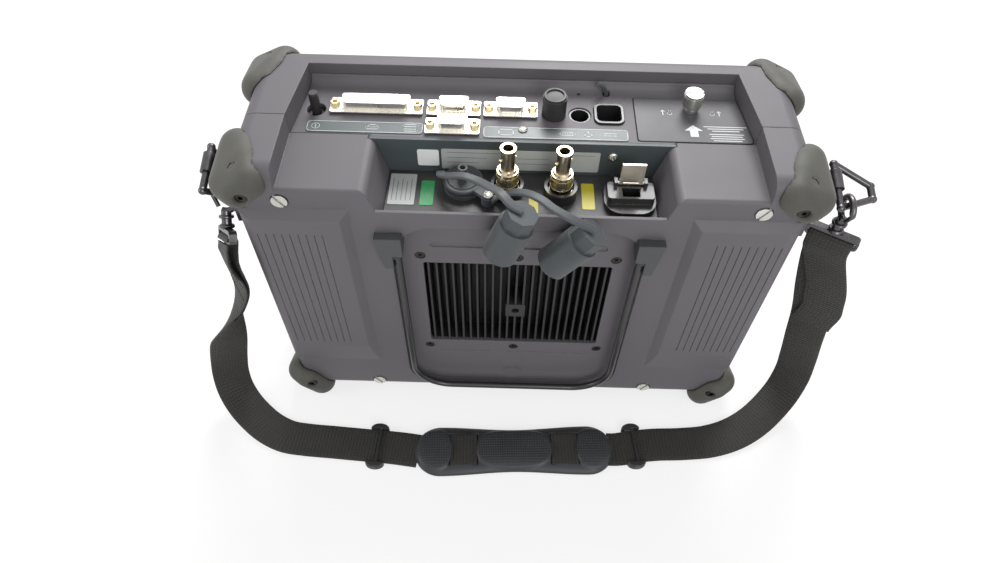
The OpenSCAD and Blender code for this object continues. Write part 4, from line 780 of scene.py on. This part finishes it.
def shoulder_pad():
    """A rubber pad: crowned, waisted, with three raised lozenges and two openings over the webbing."""
    bm = bmesh.new()
    rings = []
    for i in range(PAD_STEPS + 1):
        x = pad_station(i)
        half = max(pad_half_width(x), 0.25)
        ring = []
        for k in range(TOP_STEPS + 1):
            y = half * math.sin(math.pi * (k / TOP_STEPS - 0.5))
            ring.append((x, y, pad_top(x, y)))
        for k in range(1, SOLE_STEPS):
            y = half * 0.94 * math.cos(math.pi * k / SOLE_STEPS)
            ring.append((x, y, 0.45 + 1.2 * (abs(y) / half) ** 6))
        rings.append([PAD_PLACE @ (Vector(p) * MM) for p in ring])
    add_ring_stack(bm, rings)
    pad = skinned("shoulder_pad_body", bm, "pad_rubber", smooth=60)
    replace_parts(pad, "shoulder_pad")
    for number, (middle, half_l, half_w) in enumerate(LOZENGES, 1):
        height = pad_top(middle, 0) - 0.12
        sizes = {"Half Length": half_l * 0.9 * MM, "Half Width": half_w * 0.86 * MM,
                 "Columns": int(half_l * 1.8 / 1.55), "Rows": int(half_w * 1.72 / 1.7),
                 "Roundness": 2.6, "Dot Radius": 0.00062}
        field = built(DIMPLE_FIELD, sizes, "pad_dots_%d" % number, PAD_PLACE @ at(middle, 0, height),
                      "pad_dot_rubber", None, smooth=60)
        settle(field, height + 0.02)
        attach(field, "case")
    for sign, side in ((-1, "left"), (1, "right")):
        frames = []
        for k in range(15):
            spot = PAD_PLACE @ (Vector((sign * (26.5 + 19.0 * k / 14), 0, 6.1)) * MM) / MM
            frames.append((spot, PAD_PLACE.to_3x3() @ Vector((0, 1, 0)), Vector((0, 0, 1))))
        band_piece("pad_window_webbing_" + side, frames, 24.0, PLY, "webbing", body="case")


def settle(field, level):
    """Drops dots that were set out at one level onto the pad's crowned top."""
    back = PAD_PLACE.inverted()
    for vert in field.data.vertices:
        spot = (back @ vert.co) / MM
        vert.co.z += (pad_top(spot.x, spot.y) - level) * MM


shoulder_pad()


def sliders():
    """Three-bar sliders: round-ended side lobes, two bars under the webbing and one over it."""
    for side_name, x, y, turn in (("left", -95, -96.9, -3), ("right", 89, -91.4, 6)):
        place = at(x, y, 0, Matrix.Rotation(math.radians(turn), 3, "Z"))
        bm = bmesh.new()
        for side in (-1, 1):
            outline = []
            for k in range(17):
                a = math.pi * k / 16
                outline.append((6.6 * math.cos(a), side * (12.6 + 4.2 * math.sin(a))))
            outline += [(-6.0, side * 12.5), (6.0, side * 12.5)]
            if side < 0:
                outline.reverse()
            add_plate(bm, outline, 0.3, 5.7, 0.9, place)
        for bar_x, low, high, width in ((-4.9, 0.3, 1.1, 2.2), (4.9, 0.3, 1.1, 2.2), (0.9, 3.9, 5.2, 1.7)):
            add_plate(bm, rounded(bar_x, 0, width, 26.4, 0.5), low, high, 0.25, place)
        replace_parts(skinned("strap_slider_" + side_name, bm, "slider_plastic", merge=1e-7), "strap_sliders")


sliders()


# ---------------------------------------------------------------- corner bumpers

BUMPER_VOXEL = 0.00085


def moulded_bumpers(node):
    """The rubber corners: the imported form, rounded over as a moulding is."""
    mesh = frame["nodes"][node].data.copy()
    obj = bpy.data.objects.new(node + "_moulded", mesh)
    scene.collection.objects.link(obj)
    bm = bmesh.new()
    bm.from_mesh(mesh)
    bmesh.ops.remove_doubles(bm, verts=bm.verts, dist=2e-6)
    bm.to_mesh(mesh)
    bm.free()
    remesh = obj.modifiers.new("even", "REMESH")
    remesh.mode = "VOXEL"
    remesh.voxel_size = BUMPER_VOXEL
    relax = obj.modifiers.new("relax", "SMOOTH")
    relax.factor = 0.5
    relax.iterations = 14
    view = bpy.context.evaluated_depsgraph_get()
    view.update()
    made = bpy.data.meshes.new_from_object(obj.evaluated_get(view))
    bpy.data.objects.remove(obj)
    piece = finished(node + "_moulded", made, FINISHES["bumper_rubber"], "case", smooth=60)
    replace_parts(piece, node)


for corner in ("top_rear", "top_front", "bottom_rear", "bottom_front"):
    moulded_bumpers(corner + "_bumpers")


# ---------------------------------------------------------------- port panel details

def middle_of(body, axis):
    """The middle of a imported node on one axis, in millimetres."""
    low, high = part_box(body)
    return (low[axis] + high[axis]) / 2 / MM


def ridge_sizes(radius, count, width, depth, length):
    return {"Radius": radius, "Count": count, "Ridge Width": width, "Ridge Depth": depth, "Length": length}


def knurls():
    """Grips on the turned parts."""
    low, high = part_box("battery_screw")
    built(RIDGE_RING, ridge_sizes((high[0] - low[0]) / 2, 44, 0.00036, 0.00045, 0.0058), "battery_screw_grip",
          at(middle_of("battery_screw", 0), middle_of("battery_screw", 1), high[2] / MM - 4.6),
          "screw_steel", "battery_screw")
    for adapter in ("adapter_left", "adapter_right"):
        x, y = middle_of(adapter, 0), middle_of(adapter, 1)
        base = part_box(adapter)[0][2] / MM
        for number, height, length in ((1, 4.6, 0.0036), (2, 10.6, 0.0042)):
            built(RIDGE_RING, ridge_sizes(0.00605, 52, 0.0003, 0.0005, length),
                  "%s_grip_%d" % (adapter, number), at(x, y, base + height), "adapter_metal", adapter)
        bm = bmesh.new()
        for a in (math.radians(25), math.radians(205)):
            foot, tip = (Vector((x + reach * math.cos(a), y + reach * math.sin(a), base + 23.0))
                         for reach in (3.3, 5.1))
            add_rod(bm, [foot, tip], 0.85, 14)
        skinned(adapter + "_lugs", bm, "adapter_metal", body=adapter)
    built(RIDGE_RING, ridge_sizes(0.01585, 40, 0.0011, 0.0009, 0.013), "knob_grip",
          at(middle_of("knob", 0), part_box("knob")[1][1] / MM - 8.2, middle_of("knob", 2), UPRIGHT),
          "knob_black", "knob")


knurls()


def solder_pins():
    """Rows of contact pins that show under the connector flanges, on the rear side."""
    for row, x, y, count, pitch in (("parallel", -102.4, 10.9, 14, 2.72), ("serial_a", -44.6, 10.9, 5, 2.6),
                                    ("serial_b", -44.6, -4.6, 5, 2.6), ("video", -12.1, 10.9, 5, 2.6)):
        sizes = {"Count": count, "Pitch": (pitch * MM, 0.0, 0.0), "Pin Radius": 0.00042, "Pin Length": 0.0022}
        built(PIN_ROW, sizes, "contact_pins_" + row, at(x, y, 218.3), "jack_brass", "case", smooth=40)


solder_pins()

LABEL_BOTTOM, LABEL_TOP = 0.02, 0.28
BAY_WALL = -10.8


def label(name, x0, x1, y0, y1, look, upright=False):
    """A round-cornered film label, on the bay floor or upright on the bay wall."""
    bm = bmesh.new()
    x, y = (x0 + x1) / 2, (y0 + y1) / 2
    place = at(x, BAY_WALL, y, UPRIGHT) if upright else at(x, y, BAY_FLOOR)
    corner = 1.1 if upright else 0.8
    add_plate(bm, rounded(0, 0, x1 - x0, y1 - y0, corner), LABEL_BOTTOM, LABEL_TOP, 0.06, place)
    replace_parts(skinned(name, bm, look, merge=1e-8), "blank_labels")


label("label_square", -59, -46.8, 198, 210, "label_white", upright=True)
label("label_plate", -45.4, 44.2, 196, 211, "label_film", upright=True)
label("label_silver", -74.5, -59.5, -38, -14, "label_film")
label("label_green", -56.5, -49, -38, -19, "label_green")
label("label_yellow_1", 4.6, 9.8, -42, -28, "label_yellow")
label("label_yellow_2", 34.4, 41.6, -38, -18, "label_yellow")

# Heights between which a mark is printed: on the panel and its door, and on a label.
PANEL_PRINT = (217.42, 217.5)
LABEL_PRINT = (LABEL_TOP, 0.33)


def bar(bm, x0, y0, x1, y1, width, heights=PANEL_PRINT, place=None):
    """A straight printed line from one point to another."""
    run = Vector((x1 - x0, y1 - y0))
    turn = math.degrees(math.atan2(run.y, run.x))
    outline = rounded((x0 + x1) / 2, (y0 + y1) / 2, run.length + width, width, width * 0.45, turn, steps=2)
    add_plate(bm, outline, *heights, 0.0, place)


def loop_line(bm, points, width):
    for a, b in zip(points, points[1:] + points[:1]):
        bar(bm, *a, *b, width)


def printed(name, bm, look, body="case"):
    skinned(name, bm, look, body, smooth=0, merge=1e-8)


def panel_marks():
    """Plain printed marks: strip borders, port shapes and unlettered ruled lines."""
    bm = bmesh.new()
    for x, y, w, d in ((-88.4, -1.8, 64.4, 8.2), (18.6, -3.1, 80.4, 8.2)):
        loop_line(bm, rounded(x, y, w, d, 2.2, steps=4), 0.28)
    turns = np.linspace(0, 2 * math.pi, 17)[:-1]
    loop_line(bm, [(-116 + 2.2 * math.cos(a), -1.8 + 2.2 * math.sin(a)) for a in turns], 0.35)
    bar(bm, -116, -2.9, -116, -0.7, 0.4)
    for x, y, w, d in ((-84, -2.6, 8.0, 1.7), (-84, -0.9, 5.0, 2.0), (-63, 0.1, 8.2, 1.7),
                       (-63, -3.6, 8.2, 1.7), (-9.2, -3.1, 8.0, 4.4), (25.2, -3.1, 8.4, 2.6),
                       (36.8, -3.6, 3.8, 2.8)):
        loop_line(bm, rounded(x, y, w, d, 0.5, steps=2), 0.35)
    bar(bm, 36.8, -2.2, 36.8, -0.4, 0.35)
    bar(bm, 45.5, -2.2, 52.5, -2.2, 0.35)
    for x in (0.0, 2.6, 5.2):
        bar(bm, 45.5 + x, -4.0, 47.1 + x, -4.0, 0.35)
    for k in range(5):
        bar(bm, 22.4 + 1.4 * k, -3.5, 22.4 + 1.4 * k, -2.7, 0.3)
    printed("panel_marks", bm, "mark_white")


def door_marks():
    """An arrow and two lock marks on the battery door."""
    bm = bmesh.new()
    arrow = [(94.2, -2.6), (98.8, -2.6), (98.8, 2.4), (101.6, 2.4), (96.5, 7.0), (91.4, 2.4), (94.2, 2.4)]
    add_plate(bm, arrow, *PANEL_PRINT)
    for x in (80.6, 113.0):
        bar(bm, x, 15.4, x, 19.4, 0.45)
        bar(bm, x - 1.0, 18.2, x, 19.6, 0.4)
        bar(bm, x + 1.0, 18.2, x, 19.6, 0.4)
    for x in (84.6, 109.0):
        loop_line(bm, rounded(x, 16.6, 2.4, 2.0, 0.3, steps=2), 0.35)
        loop_line(bm, rounded(x, 18.4, 1.4, 1.8, 0.6, steps=2), 0.3)
    printed("door_marks", bm, "mark_white", "battery")


def door_lines():
    """Ruled lines on the battery door in place of its lettering."""
    bm = bmesh.new()
    for k, w in enumerate((24.0, 20.0, 15.0, 19.0, 17.0, 18.5, 15.5)):
        y = 6.0 - 1.75 * k - (1.0 if k > 2 else 0.0)
        bar(bm, 114.6 - w / 2, y, 114.6 + w / 2, y, 0.5, (217.42, 217.48))
    printed("door_lines", bm, "mark_white", "battery")


def label_lines():
    """Unlettered ruled lines on the film labels."""
    bm = bmesh.new()
    wall = at(0, BAY_WALL - LABEL_TOP, 0, UPRIGHT)
    for x0, x1, z in ((-42, -8, 208.6), (-42, -20, 204.8), (-42, -24, 201.2), (-2, 16, 205.0),
                      (-2, 16, 201.2), (20, 41, 208.6)):
        bar(bm, x0, z, x1, z, 0.35, (0.0, 0.05), wall)
    floor = at(0, 0, BAY_FLOOR)
    for k in range(5):
        bar(bm, -72.4 + 2.6 * k, -34.6, -72.4 + 2.6 * k, -18.0 - 2.0 * (k % 2), 0.4, LABEL_PRINT, floor)
    for x in (-54.8, -52.9, -51.0):
        bar(bm, x, -35.0, x, -23.0, 0.3, LABEL_PRINT, floor)
    printed("label_lines", bm, "mark_grey")


panel_marks()
door_marks()
door_lines()
label_lines()


def cover_stub():
    """The torn-off end of a socket cover's tether, still plugged in its hole by the power inlet."""
    route = [(49, 32.6, 213.0, 60), (49, 32.6, 217.4, 60), (48.2, 32.4, 220.2, 60), (46.4, 32.0, 223.0, 60),
             (43.6, 31.6, 225.4, 60)]
    band_piece("cover_stub", Band(route, step=0.8).frames, 3.4, 1.9, "cap_rubber", body="case")


cover_stub()


def hook_collars():
    """Swivel collars where each hook's post turns in its eye."""
    top = [(2.75, -11.4), (3.7, -11.4), (4.2, -10.9), (4.2, -10.0), (3.7, -9.5), (2.75, -9.5)]
    low = [(2.75, -16.9), (3.9, -16.9), (4.3, -16.3), (4.3, -15.4), (3.5, -14.6), (2.75, -14.6)]
    for side, spot, angle, axis in (("left", (-166.2701, -33.7586, 190.4444), -40, "X"),
                                    ("right", (175.2378, -44.139, 205.8672), -90, "Z")):
        place = at(*spot, Matrix.Rotation(math.radians(angle), 3, axis))
        bm = bmesh.new()
        for profile in (top, low):
            add_lathe(bm, profile, place)
        skinned("hook_collar_" + side, bm, "ring_black", body="ring_" + side)


hook_collars()


# ---------------------------------------------------------------- bench and light

def seen_by_eye(tree):
    """1 for what the camera sees, straight or in a gloss or a glass; 0 for what lights the object."""
    ray = add(tree, "ShaderNodeLightPath").outputs
    gloss = maths(tree, "MAXIMUM", ray["Is Glossy Ray"], ray["Is Transmission Ray"])
    return maths(tree, "MAXIMUM", ray["Is Camera Ray"], gloss)


def white_to_the_eye(name, colour, share):
    """A pale surface that shows white to the camera and in reflections, and still takes soft shadows."""
    finish, tree, shader = new_finish(name)
    shader.inputs["Base Color"].default_value = colour
    shader.inputs["Roughness"].default_value = 0.9
    shader.inputs["Specular IOR Level"].default_value = 0.0
    glow = add(tree, "ShaderNodeEmission", {"Color": (1, 1, 1, 1), "Strength": 1.0})
    fac = maths(tree, "MULTIPLY", seen_by_eye(tree), share)
    mix = add(tree, "ShaderNodeMixShader", {0: fac, 1: shader.outputs[0], 2: glow.outputs[0]})
    out = next(n for n in tree.nodes if n.type == "OUTPUT_MATERIAL")
    tree.links.new(mix.outputs[0], out.inputs["Surface"])
    return finish


def bench():
    mesh = bpy.data.meshes.new("bench_top")
    mesh.from_pydata([(-5, -5, 0), (5, -5, 0), (5, 5, 0), (-5, 5, 0)], [], [(0, 1, 2, 3)])
    mesh.materials.append(white_to_the_eye("bench_white", (0.93, 0.93, 0.93, 1), 0.72))
    floor = bpy.data.objects.new("bench_top", mesh)
    scene.collection.objects.link(floor)


def soft_light(name, place, aim, size, watts):
    data = bpy.data.lights.new(name, "AREA")
    data.shape = "DISK"
    data.size = size
    data.energy = watts
    lamp = bpy.data.objects.new(name, data)
    lamp.location = place
    lamp.rotation_euler = (Vector(aim) - Vector(place)).to_track_quat("-Z", "Y").to_euler()
    scene.collection.objects.link(lamp)


WORLD_LIGHT = 0.55


def room():
    world = bpy.data.worlds.new("studio")
    scene.world = world
    world.use_nodes = True
    tree = world.node_tree
    tree.nodes.clear()
    level = maths(tree, "ADD", maths(tree, "MULTIPLY", seen_by_eye(tree), 1 - WORLD_LIGHT), WORLD_LIGHT)
    glow = add(tree, "ShaderNodeBackground", {"Color": (1, 1, 1, 1), "Strength": level})
    add(tree, "ShaderNodeOutputWorld", {"Surface": glow.outputs[0]})
    soft_light("overhead", (0.15, 0.95, 1.2), (0, 0.05, 0.2), 0.9, 24)
    soft_light("front_fill", (0.5, -1.4, 1.1), (0, 0, 0.1), 1.0, 12)
    soft_light("side_fill", (-1.4, -0.3, 0.7), (0, 0, 0.1), 0.8, 6)


bench()
room()
scene.view_settings.view_transform = "Standard"
